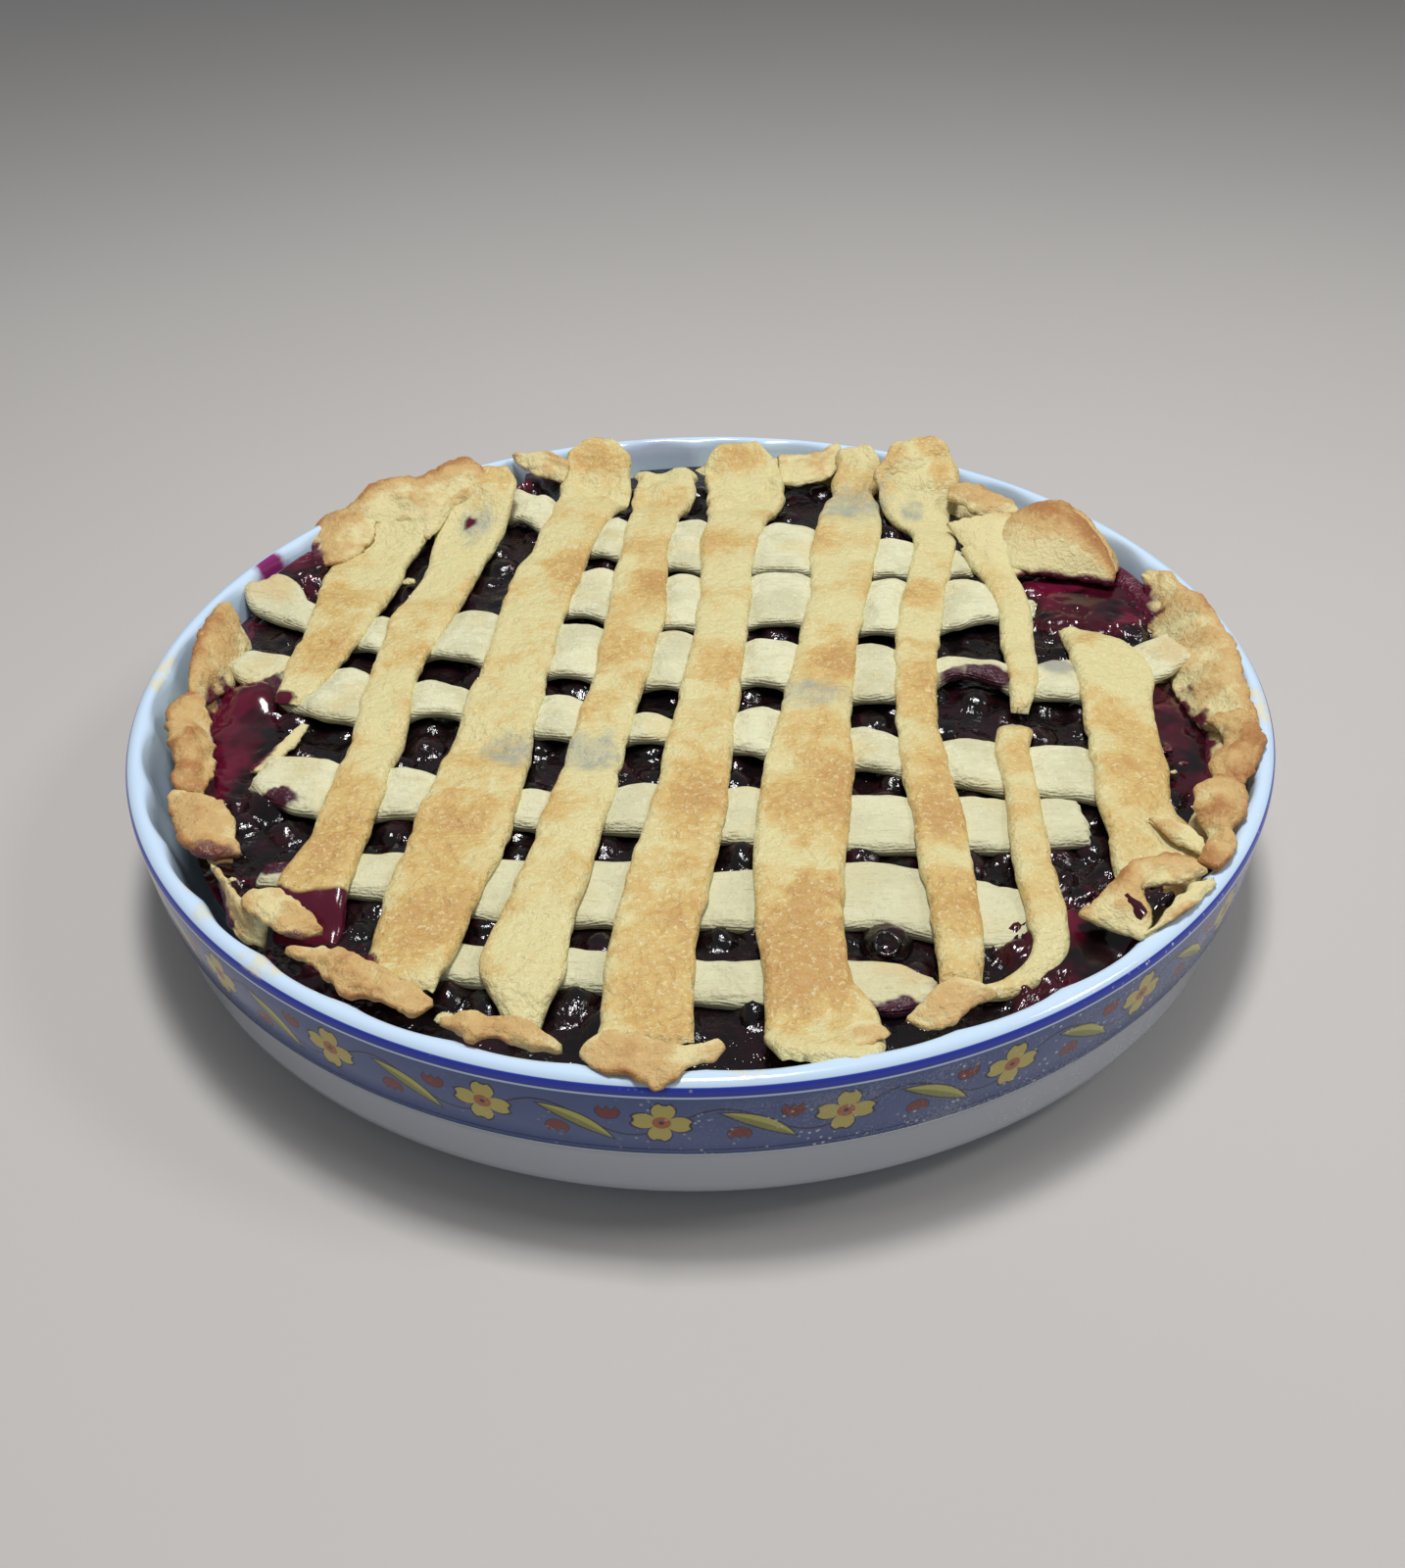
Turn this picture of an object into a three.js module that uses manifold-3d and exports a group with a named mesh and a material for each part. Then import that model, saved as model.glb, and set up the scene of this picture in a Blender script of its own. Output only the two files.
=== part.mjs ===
import * as THREE from "three";
import { mergeVertices } from "three/addons/utils/BufferGeometryUtils.js";
import Module from "manifold-3d";

// A blueberry tart in the round fluted dish that it was baked in.
// Millimetres, +Z up, the origin at the centre of the dish's foot and the front at -Y.

const wasm = await Module();
wasm.setup();

// The dish
const DISH_RADIUS = 150;
const DISH_HEIGHT = 46;
const FOOT_RADIUS = 131;
const FOOT_WIDTH = 8;
const FOOT_HEIGHT = 2;
const FOOT_SLOPE = 2;
// The outside of the wall from the rounded lower edge up to the band, as [radius, height].
const LOWER_EDGE = [[DISH_RADIUS - 9, 3], [DISH_RADIUS - 3.4, 8.5]];
const BAND_STEP = [[DISH_RADIUS - 3, 21.5], [DISH_RADIUS - 1.5, 24.5]];
const LIP_DROP = 2;
const LIP_SET_BACK = 2.6;
const FLOOR_TOP = 6;
const FLOOR_RADIUS = 126;
const FLUTES = 36;
const FLUTE_DEPTH = 1.4;
const STEPS_PER_FLUTE = 3;
// The inside wall at the ridges between the flutes: floor edge, half height and lip.
const FLOOR_EDGE = [133, 8];
const HALF_WAY = [140, 22];
const INNER_LIP = [143.6, 44.6];
const WALL_RIDGES = [FLOOR_EDGE, HALF_WAY, INNER_LIP];

// The pastry case that lines the dish
const CASE_GAP = 0.8;
const CASE_FLOOR = 6.4;
const CASE_BASE = 4;
const CASE_STEPS = 54;
const CLEARANCE_STEPS = 32;
const LIP_TOP_RADIUS = DISH_RADIUS - 5;
const BEYOND_DISH = DISH_RADIUS + 10;
const CASE_INNER_FOOT = 121;
const CASE_INNER_TOP = 127;
const CREST_SHOULDER = 2;
const CREST_ROUNDING = 1.5;
const CREST_DROP = 0.6;
const CREST_WIDTH = 9;
const CREST_WANDER = 1.2;
const EDGE_RAGGED = 0.8;

// The berries in their juice
const JUICE_LEVEL = 36.6;
const JUICE_GAP = 0.4;
const JUICE_INSET = 1.5;
const JUICE_STEPS = 40;
const BERRY_SMALL = 4.4;
const BERRY_LARGE = 6;
const BERRY_STANDS = 3.2;
const BERRY_SPACING = 7;
const BERRY_REACH = 119;
const BERRY_LEAST_ROOM = 2.2;
const BERRY_GRID = 3;
const FULL_TURN = 2 * Math.PI;

// The lattice: cross strips lie on the berries and long strips lie on the cross strips
const CROSS_THICKNESS = 3.6;
const LONG_THICKNESS = 3.3;
const LAYER_GAP = 0.4;
const CROSS_BED = JUICE_LEVEL + LAYER_GAP;
const LONG_BED = CROSS_BED + CROSS_THICKNESS + LAYER_GAP;
const SAG_MOST = 1.9;
const SAG_SLOPE = 0.22;
const SAG_MARGIN = 3;
const STATION_STEP = 11;
const EDGE_WANDER = 0.5;
const UNDER_ROUNDING = 0.7;
const TOP_ROUNDING = 1.3;
const BULGE = 0.42;
const CUT_CLEARANCE = 0.4;

// Each strip's stations run from back to front or from left to right as [x, y, width].
// start and end say how far that end rises (or dips) and over what run.
const LONG_STRIPS = [
  {
    name: "long_strip_1",
    stations: [[-98, 87, 23], [-101, 76, 24], [-103, 56, 24.5], [-104, 38, 21], [-106, 18, 16.5],
      [-109, -3, 12], [-111, -11, 7]],
    start: [4, 24],
  },
  {
    name: "long_strip_2",
    stations: [[-72, 107, 23], [-73, 96, 25], [-74, 82, 21.5], [-76, 58, 16], [-79, 42, 19],
      [-83, 16, 14.5], [-84, -40, 14], [-86, -66, 14], [-88, -90, 16.5], [-88, -101, 16]],
    start: [4, 30],
    end: [-3, 12],
  },
  {
    name: "long_strip_3",
    stations: [[-34, 134, 13], [-33, 120, 22], [-34, 112, 23], [-38, 95, 20], [-46, 54, 21], [-50, 14, 19],
      [-53, -25, 21], [-58, -72, 23.5], [-62, -102, 19.5], [-64, -122, 16]],
    start: [6.7, 30],
    end: [-2, 9],
  },
  {
    name: "long_strip_4",
    stations: [[-10, 128, 21], [-10, 112, 20.5], [-14, 93, 16.5], [-18, 34, 17.5], [-22, -6, 15.5],
      [-26, -32, 14.5], [-31, -66, 16], [-37, -104, 17], [-39, -126, 19]],
    start: [-1.9, 40],
    end: [-0.6, 8],
  },
  {
    name: "long_strip_5",
    stations: [[16, 137, 13], [17, 117, 26], [16, 104, 25], [12, 84, 19], [9, 50, 16], [6, 14, 15.5],
      [1, -26, 17], [-4, -66, 19], [-11, -106, 18], [-12, -136, 19]],
    start: [3.2, 28],
    end: [0.6, 10],
  },
  {
    name: "long_strip_6",
    stations: [[56, 129, 11], [54, 108, 15.5], [51, 95, 17], [49, 80, 21], [41, 34, 17], [33, -6, 17],
      [27, -44, 22.5], [24, -66, 22.5], [21, -106, 19.5], [22, -126, 18], [24, -139, 23]],
    start: [4.7, 26],
    end: [0.6, 10],
  },
  {
    name: "long_strip_7",
    stations: [[73, 119, 16], [73, 104, 27], [74, 95, 24], [74, 84, 16.5], [69, 46, 12.5], [62, 14, 12],
      [57, -25, 11.2], [56, -65, 12.5], [55, -104, 11], [53, -121, 9]],
    start: [10.5, 30],
  },
  {
    name: "long_strip_8_back",
    stations: [[88, 71, 13], [91, 56, 11], [92, 36, 7.5], [88, -2, 8], [84, -19, 5]],
    start: [2, 16],
    end: [-0.6, 6],
  },
  {
    name: "long_strip_8_front",
    stations: [[80, -33, 8.5], [78, -55, 8], [74, -102, 9], [71, -114, 8], [66, -122, 6]],
    start: [-0.5, 4],
    end: [-1, 12],
  },
  {
    name: "long_strip_9",
    stations: [[110, 20, 7], [112, 11, 17], [113, 2, 20], [110, -25, 18.5], [107, -46, 19.5],
      [103, -64, 17], [104, -76, 20], [101, -89, 17]],
    start: [-0.8, 9],
  },
];
const CROSS_STRIPS = [
  {
    name: "cross_strip_1",
    stations: [[-64, 108, 13], [-56, 104, 16], [-27, 82, 22], [0, 75, 31], [30, 71, 29], [62, 64, 22],
      [85, 60, 14]],
  },
  {
    name: "cross_strip_2",
    stations: [[-46, 48, 22], [-32, 46, 26], [0, 40, 29], [27, 40, 27], [56, 34, 29], [80, 36, 25],
      [99, 31, 7]],
  },
  {
    name: "cross_strip_3",
    stations: [[-130, 50, 14], [-120, 41, 13], [-112, 36, 13], [-97, 27, 16], [-67, 23, 24], [-32, 13, 27],
      [0, 7, 25], [20, 5, 21], [48, -1, 27], [72, 0, 9], [97, -8, 18], [125, -3, 16]],
    start: [4.6, 16],
  },
  {
    name: "cross_strip_4",
    stations: [[-124, 9, 12], [-112, 3, 16], [-97, -6, 23], [-67, -11, 13], [-32, -21, 17], [-6, -26, 10.5],
      [20, -28, 20], [48, -38, 15], [72, -44, 19], [100, -49, 20]],
    start: [1.5, 10],
  },
  {
    name: "cross_strip_5",
    stations: [[-104, -43, 12], [-97, -46, 19], [-67, -51, 16], [-37, -57, 14], [-10, -58, 18], [20, -62, 20],
      [48, -65, 20], [92, -67, 15]],
  },
  {
    name: "cross_strip_6",
    stations: [[-103, -78, 6], [-75, -79, 14], [-45, -85, 19], [-20, -87, 21], [5, -90, 18], [42, -90, 21],
      [68, -97, 18], [83, -92, 6]],
  },
  {
    name: "cross_strip_7",
    stations: [[-51, -112, 15], [-26, -113, 11], [4, -119, 18], [40, -120, 16], [47, -121, 12]],
  },
];

// How high the lining's edge stands round the dish, as [angle, height], counted from +X towards the back.
const CASE_EDGE = [
  [0, 46], [14, 47], [24, 45], [36, 47], [46, 42], [54, 50], [60, 51], [66, 46], [75, 44.5], [84, 44.5],
  [92, 37], [98, 37], [105, 47.5], [113, 48], [124, 51.5], [135, 50.5], [143, 46.5], [149, 38.5], [156, 39],
  [163, 42], [168, 45], [184, 45], [204, 44], [213, 40], [219, 39], [226, 44], [246, 44.5], [250, 42],
  [258, 45], [266, 46.4], [276, 43], [285, 44], [288, 39], [294, 44.5], [300, 38.5], [307, 39],
  [313, 44.5], [326, 45], [338, 46], [350, 46],
];
// How far the baked crust has drawn back from the dish, as [angle, gap].
const CASE_SHRINK = [
  [0, 0], [20, 1], [42, 3], [60, 0], [150, 0], [176, 1], [196, 5], [212, 5], [226, 1], [240, 0],
];

// The folds of spare pastry turned in over the edge, from the left round by the front: the middle, heading,
// length, width and arch of each, tip for how narrow its ends are and tilt for how far in degrees its inner
// side is raised.
const FOLDS = [
  { at: [-135, 13, 43.6], heading: -86, length: 50, width: 14, arch: 1.5, tip: 0.6, tilt: -45 },
  { at: [-130, -33, 45.6], heading: -75, length: 46, width: 11, arch: 1.8, tip: 0.4, tilt: -16 },
  { at: [-118, -66, 46], heading: -54, length: 34, width: 12, arch: 1.8, tip: 0.5, tilt: 0 },
  { at: [-104, -92, 44.2], heading: -53, length: 28, width: 8, arch: 0.4, tip: 0.5, tilt: 52, thick: 2.2 },
  { at: [-92, -99, 46.6], heading: -27, length: 26, width: 10, arch: 1.2, tip: 0.7, tilt: 4, thick: 2.6 },
  { at: [-71, -120, 46.8], heading: -24, length: 40, width: 10, arch: 1.2, tip: 0.8, tilt: 4, thick: 2.8 },
  { at: [-41, -135, 46.4], heading: -16, length: 30, width: 9, arch: 1.6, tip: 0.7, tilt: 4 },
  { at: [-11, -141, 47.2], heading: 4, length: 30, width: 12, arch: 1, tip: 0.6, tilt: 9 },
  { at: [49, -129, 46], heading: 16, length: 23, width: 10, arch: 1.8, tip: 0.6, tilt: 12, thick: 2.8 },
  { at: [95, -98, 46.8], heading: 25, length: 34, width: 14, arch: 1.8, tip: 0.6, tilt: 2 },
  { at: [103, -101, 46.6], heading: 42, length: 26, width: 8, arch: 0.6, tip: 0.5, tilt: 3, thick: 2.4 },
  { at: [111, -78, 46.2], heading: -57, length: 19, width: 6, arch: 0.4, tip: 0.5, tilt: 16, thick: 2.2 },
  { at: [119, -75, 47.2], heading: 68, length: 38, width: 10, arch: 2, tip: 0.5, tilt: -11 },
  { at: [132, -46, 46.8], heading: 79, length: 37, width: 11, arch: 2, tip: 0.5, tilt: -16 },
  { at: [138, -16, 44.4], heading: 83, length: 46, width: 17, arch: 1.4, tip: 0.3, tilt: -37 },
  { at: [137, 26, 44.4], heading: 101, length: 46, width: 16, arch: 1.4, tip: 0.4, tilt: -35 },
  { at: [111, 57, 49.4], heading: 152, length: 42, width: 26, arch: 4, tip: 0.5, tilt: -19, thick: 5 },
  { at: [116, 68, 47.4], heading: 140, length: 40, width: 10, arch: 2, tip: 0.4, tilt: 50 },
  { at: [91, 69, 46], heading: 151, length: 28, width: 22, arch: 1.2, tip: 0.4, tilt: -6 },
  { at: [93, 90, 47.4], heading: 150, length: 28, width: 11, arch: 1.6, tip: 0.4, tilt: -18 },
  { at: [42, 127, 45.8], heading: 180, length: 24, width: 19, arch: 1.6, tip: 0.3, tilt: -11 },
  { at: [-53, 126, 47.4], heading: 160, length: 24, width: 10, arch: 1.2, tip: 0.4, tilt: -31 },
  { at: [-87, 92, 49.4], heading: 194, length: 60, width: 36, arch: 1.6, tip: 0.4, tilt: -19 },
  { at: [-117, 78, 44.4], heading: -87, length: 30, width: 10, arch: 1.2, tip: 0.4, tilt: 25 },
];
const FOLD_THICKNESS = 3.4;
const FOLD_WANDER = 0.16;
const FOLD_BUCKLE = 0.4;
const FOLD_EDGE_THICKNESS = 1.8;
const FOLD_ROWS = 4;
const FOLD_COLUMNS = 2;
const TIP_CURVE = 2.5;
const CROWN_SHARE = 0.5;

// The finishes, and where each kind of piece starts its run of random numbers
const GLAZE = { color: "#e6e8ec", roughness: 0.18 };
const CRUST = { color: "#d3a558", roughness: 0.7 };
const PALE_PASTRY = { color: "#dcc98f", roughness: 0.75 };
const GOLDEN_PASTRY = { color: "#d3a558", roughness: 0.7 };
const BERRIES = { color: "#241321", roughness: 0.15 };
const SEEDS = { lining: 5, longStrips: 11, berrySizes: 17, berryPlaces: 29, crossStrips: 41, folds: 71 };

// A seeded source of numbers from 0 to 1.
function seededRandom(seed) {
  let state = seed;
  return () => {
    state = (state * 1664525 + 1013904223) % 4294967296;
    return state / 4294967296;
  };
}

// Straight interpolation in a list of [position, value]; a period closes the list on itself.
function interpolate(list, position, period = 0) {
  const closed = period ? [...list, [list[0][0] + period, list[0][1]]] : list;
  const next = closed.findIndex(([place]) => place > position);
  if (next < 1) return next === 0 ? closed[0][1] : closed.at(-1)[1];
  const [from, low] = closed[next - 1];
  const [to, high] = closed[next];
  return low + ((high - low) * (position - from)) / (to - from);
}

// A closed surface through loops of points with equal counts: a closed ring, or a body with two end caps.
function loft(loops, ring = false) {
  const count = loops[0].length;
  const positions = loops.flat().flatMap((point) => point.toArray());
  const faces = [];
  const bands = ring ? loops.length : loops.length - 1;
  for (let row = 0; row < bands; row++) {
    const here = row * count;
    const there = ((row + 1) % loops.length) * count;
    for (let i = 0; i < count; i++) {
      const j = (i + 1) % count;
      faces.push(here + i, here + j, there + j, here + i, there + j, there + i);
    }
  }
  if (!ring) {
    const last = (loops.length - 1) * count;
    for (let i = 1; i < count - 1; i++) {
      faces.push(0, i + 1, i);
      faces.push(last, last + i, last + i + 1);
    }
  }
  const geometry = new THREE.BufferGeometry();
  geometry.setAttribute("position", new THREE.Float32BufferAttribute(positions, 3));
  geometry.setIndex(faces);
  return geometry;
}

// A closed geometry as a solid that can be joined and cut, and back again.
// Triangles that shrink to a line where a section meets the axis are dropped.
function solidFrom(geometry) {
  const bare = new THREE.BufferGeometry();
  bare.setAttribute("position", geometry.getAttribute("position"));
  bare.setIndex(geometry.index);
  const merged = mergeVertices(bare, 1e-4);
  const vertProperties = new Float32Array(merged.attributes.position.array);
  const corners = merged.index.array;
  const kept = [];
  for (let i = 0; i < corners.length; i += 3) {
    const [a, b, c] = corners.slice(i, i + 3);
    if (a !== b && b !== c && c !== a) kept.push(a, b, c);
  }
  const triVerts = new Uint32Array(kept);
  return new wasm.Manifold(new wasm.Mesh({ numProp: 3, vertProperties, triVerts }));
}

function geometryFrom(solid) {
  const mesh = solid.getMesh();
  const geometry = new THREE.BufferGeometry();
  geometry.setAttribute("position", new THREE.BufferAttribute(mesh.vertProperties, 3));
  geometry.setIndex(new THREE.BufferAttribute(mesh.triVerts, 1));
  return geometry;
}

// The largest body of a cut solid, without the scraps.
function largestBody(solid) {
  return solid.decompose().reduce((best, body) => (body.volume() > best.volume() ? body : best));
}

function wallRadius(z) {
  return interpolate(WALL_RIDGES.map(([radius, height]) => [height, radius]), z);
}

// A turned body from a profile of [radius, height] that starts and ends on the axis.
function turned(profile, steps) {
  const points = profile.map(([radius, height]) => new THREE.Vector2(radius, height));
  const geometry = new THREE.LatheGeometry(points, steps);
  geometry.rotateX(Math.PI / 2);
  return geometry;
}

// The dish: a foot ring, a low white wall, a proud band under the rounded lip and a fluted inside.
function dishGeometry() {
  const profile = [
    [0, FOOT_HEIGHT],
    [FOOT_RADIUS - FOOT_WIDTH - FOOT_SLOPE, FOOT_HEIGHT],
    [FOOT_RADIUS - FOOT_WIDTH, 0],
    [FOOT_RADIUS, 0],
    ...LOWER_EDGE,
    ...BAND_STEP,
    [DISH_RADIUS, DISH_HEIGHT - LIP_DROP],
    [DISH_RADIUS - LIP_SET_BACK, DISH_HEIGHT],
    ...[...WALL_RIDGES].reverse(),
    [FLOOR_RADIUS, FLOOR_TOP],
    [0, FLOOR_TOP],
  ];
  const geometry = turned(profile, FLUTES * STEPS_PER_FLUTE);
  const position = geometry.getAttribute("position");
  const fluted = [HALF_WAY, INNER_LIP];
  for (let i = 0; i < position.count; i++) {
    const radius = Math.hypot(position.getX(i), position.getY(i));
    const height = position.getZ(i);
    const wave = fluted.some(([r, z]) => Math.hypot(r - radius, z - height) < 0.01);
    if (!wave) continue;
    const angle = Math.atan2(position.getY(i), position.getX(i));
    const grown = (radius + FLUTE_DEPTH * Math.abs(Math.sin((FLUTES * angle) / 2))) / radius;
    position.setX(i, position.getX(i) * grown);
    position.setY(i, position.getY(i) * grown);
  }
  return geometry;
}

// A strip's run through its stations, as points of x, y and width a step apart.
function stripRun(strip) {
  const curve = new THREE.CatmullRomCurve3(strip.stations.map((station) => new THREE.Vector3(...station)));
  const steps = Math.round(curve.getLength() / STATION_STEP);
  return curve.getSpacedPoints(steps);
}

// How far a point lies outside a strip's edge, seen from above (negative on the strip).
function distanceOutside(run, x, y) {
  let least = Infinity;
  for (let i = 1; i < run.length; i++) {
    const [a, b] = [run[i - 1], run[i]];
    const along = new THREE.Vector2(b.x - a.x, b.y - a.y);
    const share = ((x - a.x) * along.x + (y - a.y) * along.y) / along.lengthSq();
    const t = THREE.MathUtils.clamp(share, 0, 1);
    const distance = Math.hypot(x - a.x - along.x * t, y - a.y - along.y * t);
    least = Math.min(least, distance - (a.z + (b.z - a.z) * t) / 2);
  }
  return least;
}

// How much an end of a strip is raised at a distance from that end.
function endRise([rise, run] = [0, 1], distance) {
  return rise * (1 - THREE.MathUtils.smoothstep(distance, 0, run));
}

const crossRuns = CROSS_STRIPS.map(stripRun);
const longRuns = LONG_STRIPS.map(stripRun);

// A long strip sags a little where no cross strip carries it.
function sagAt(x, y) {
  const outside = Math.min(...crossRuns.map((run) => distanceOutside(run, x, y)));
  return THREE.MathUtils.clamp((outside - SAG_MARGIN) * SAG_SLOPE, 0, SAG_MOST);
}

// A flat strip of dough with rounded edges, lofted along its run.
function stripGeometry(strip, run, bed, thickness, sag, seed, clearance = 0) {
  const random = seededRandom(seed);
  const first = run[0];
  const last = run.at(-1);
  const loops = run.map((point, i) => {
    const before = run[Math.max(i - 1, 0)];
    const after = run[Math.min(i + 1, run.length - 1)];
    const along = new THREE.Vector2(after.x - before.x, after.y - before.y).normalize();
    const side = new THREE.Vector2(-along.y, along.x);
    const wander = EDGE_WANDER * (2 * random() - 1);
    const half = point.z / 2 + clearance;
    const fromFirst = Math.hypot(point.x - first.x, point.y - first.y);
    const fromLast = Math.hypot(point.x - last.x, point.y - last.y);
    const ends = endRise(strip.start, fromFirst) + endRise(strip.end, fromLast);
    const offsets = [-1, 0, 1].map((share) => (share * point.z) / 2);
    const sags = offsets.map((offset) => sag(point.x + side.x * offset, point.y + side.y * offset));
    const bottom = bed + ends - Math.min(...sags) - clearance;
    const height = thickness + 2 * clearance;
    const pushed = i === 0 ? -clearance : i === run.length - 1 ? clearance : 0;
    const section = [
      [-half + UNDER_ROUNDING, 0],
      [half - UNDER_ROUNDING, 0],
      [half, BULGE * height],
      [half - TOP_ROUNDING, height],
      [-half + TOP_ROUNDING, height],
      [-half, BULGE * height],
    ];
    return section.map(([across, up]) => {
      const shift = across + wander;
      const x = point.x + side.x * shift + along.x * pushed;
      const y = point.y + side.y * shift + along.y * pushed;
      return new THREE.Vector3(x, y, bottom + up);
    });
  });
  return loft(loops);
}

function longStripGeometry(index, clearance) {
  const strip = LONG_STRIPS[index];
  const seed = SEEDS.longStrips + index;
  return stripGeometry(strip, longRuns[index], LONG_BED, LONG_THICKNESS, sagAt, seed, clearance);
}

function crossStripGeometry(index, clearance) {
  const strip = CROSS_STRIPS[index];
  const flat = () => 0;
  const seed = SEEDS.crossStrips + index;
  return stripGeometry(strip, crossRuns[index], CROSS_BED, CROSS_THICKNESS, flat, seed, clearance);
}

// The lining of the dish: a base and a wall with a ragged edge.
function liningGeometry() {
  const random = seededRandom(SEEDS.lining);
  const loops = [];
  for (let step = 0; step < CASE_STEPS; step++) {
    const degrees = (360 * step) / CASE_STEPS;
    const angle = THREE.MathUtils.degToRad(degrees);
    const edge = interpolate(CASE_EDGE, degrees, 360) + EDGE_RAGGED * (2 * random() - 1);
    const gap = CASE_GAP + interpolate(CASE_SHRINK, degrees, 360);
    const outer = wallRadius(edge) - gap;
    const section = [
      [FLOOR_RADIUS - CASE_GAP, CASE_FLOOR],
      [HALF_WAY[0] - CASE_GAP, HALF_WAY[1]],
      [outer, edge - CREST_SHOULDER],
      [outer - CREST_ROUNDING, edge],
      [outer - CREST_WIDTH - CREST_WANDER * random(), edge - CREST_DROP],
      [CASE_INNER_TOP, JUICE_LEVEL],
      [CASE_INNER_FOOT, CASE_FLOOR + CASE_BASE],
      [0, CASE_FLOOR + CASE_BASE],
      [0, CASE_FLOOR],
    ];
    const place = ([radius, z]) => new THREE.Vector3(radius * Math.cos(angle), radius * Math.sin(angle), z);
    loops.push(section.reverse().map(place));
  }
  return loft(loops, true);
}

// One fold: an arched sheet, narrow at its ends and thin at its edges.
function foldGeometry({ length, width, arch, tip, thick = FOLD_THICKNESS }, seed) {
  const random = seededRandom(seed);
  const loops = [];
  for (let row = 0; row <= FOLD_ROWS; row++) {
    const along = (2 * row) / FOLD_ROWS - 1;
    const narrowing = 1 - tip * Math.abs(along) ** TIP_CURVE;
    const half = (width / 2) * narrowing * (1 + FOLD_WANDER * (2 * random() - 1));
    const lift = -arch * along * along;
    const top = [];
    const bottom = [];
    for (let column = 0; column <= FOLD_COLUMNS; column++) {
      const across = (2 * column) / FOLD_COLUMNS - 1;
      const crown = 1 - across * across;
      const depth = FOLD_EDGE_THICKNESS + (thick - FOLD_EDGE_THICKNESS) * crown;
      const middle = lift + arch * CROWN_SHARE * (crown - 1) + FOLD_BUCKLE * (2 * random() - 1);
      top.unshift(new THREE.Vector3((along * length) / 2, across * half, middle + depth / 2));
      bottom.push(new THREE.Vector3((along * length) / 2, across * half, middle - depth / 2));
    }
    loops.push([...bottom, ...top]);
  }
  return loft(loops);
}

function foldSolid(fold, seed) {
  const holder = new THREE.Object3D();
  holder.position.set(...fold.at);
  holder.rotation.set(THREE.MathUtils.degToRad(fold.tilt), 0, THREE.MathUtils.degToRad(fold.heading), "ZYX");
  holder.updateMatrix();
  return solidFrom(foldGeometry(fold, seed).applyMatrix4(holder.matrix));
}

// What the pastry case keeps clear of: the dish's wall and lip, and the lattice.
function dishClearance() {
  const wall = [HALF_WAY, INNER_LIP].map(([radius, z]) => [radius - LAYER_GAP, z]);
  const top = DISH_HEIGHT + LAYER_GAP;
  const lip = [[LIP_TOP_RADIUS, top], [BEYOND_DISH, top], [BEYOND_DISH, HALF_WAY[1]]];
  const profile = [...wall, ...lip, wall[0]];
  return solidFrom(turned(profile.reverse(), CLEARANCE_STEPS));
}

function caseSolid() {
  let pastry = solidFrom(liningGeometry());
  FOLDS.forEach((fold, i) => {
    pastry = pastry.add(foldSolid(fold, SEEDS.folds + i));
  });
  pastry = pastry.subtract(dishClearance());
  LONG_STRIPS.forEach((strip, i) => {
    pastry = pastry.subtract(solidFrom(longStripGeometry(i, CUT_CLEARANCE)));
  });
  CROSS_STRIPS.forEach((strip, i) => {
    pastry = pastry.subtract(solidFrom(crossStripGeometry(i, CUT_CLEARANCE)));
  });
  return largestBody(pastry);
}

// The juice that the berries lie in, filling the case up to the lattice.
function juiceGeometry() {
  const low = CASE_FLOOR + CASE_BASE + JUICE_GAP;
  const foot = CASE_INNER_FOOT - JUICE_INSET;
  const rim = CASE_INNER_TOP - JUICE_INSET;
  return turned([[0, low], [foot, low], [rim, JUICE_LEVEL], [0, JUICE_LEVEL]], JUICE_STEPS);
}

// Places for berries in the openings of the lattice, the roomiest first, a berry's width apart.
function berryPlaces() {
  const random = seededRandom(SEEDS.berryPlaces);
  const runs = [...crossRuns, ...longRuns];
  const open = [];
  for (let x = -BERRY_REACH; x < BERRY_REACH; x += BERRY_GRID) {
    for (let y = -BERRY_REACH; y < BERRY_REACH; y += BERRY_GRID) {
      const place = new THREE.Vector2(x + BERRY_GRID * random(), y + BERRY_GRID * random());
      const room = Math.min(...runs.map((run) => distanceOutside(run, place.x, place.y))) - 2 * LAYER_GAP;
      if (place.length() < BERRY_REACH && room > BERRY_LEAST_ROOM) open.push({ place, room });
    }
  }
  open.sort((a, b) => b.room - a.room);
  const taken = [];
  for (const candidate of open) {
    const near = taken.some((other) => other.place.distanceTo(candidate.place) < BERRY_SPACING);
    if (!near) taken.push(candidate);
  }
  return taken;
}

// One berry with few sides, set so deep that it stays clear of the strips beside it.
function berrySolid({ place, room }, random) {
  const radius = BERRY_SMALL + (BERRY_LARGE - BERRY_SMALL) * random();
  const wide = Math.min(room, radius);
  const stands = Math.min(radius - Math.sqrt(radius * radius - wide * wide), BERRY_STANDS);
  const berry = new THREE.IcosahedronGeometry(radius, 0);
  berry.deleteAttribute("normal");
  berry.deleteAttribute("uv");
  berry.rotateX(FULL_TURN * random());
  berry.rotateY(FULL_TURN * random());
  berry.translate(place.x, place.y, JUICE_LEVEL + stands - radius);
  return solidFrom(mergeVertices(berry));
}

function fillingSolid() {
  const random = seededRandom(SEEDS.berrySizes);
  const juice = solidFrom(juiceGeometry());
  return berryPlaces().reduce((filling, spot) => filling.add(berrySolid(spot, random)), juice);
}

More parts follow.
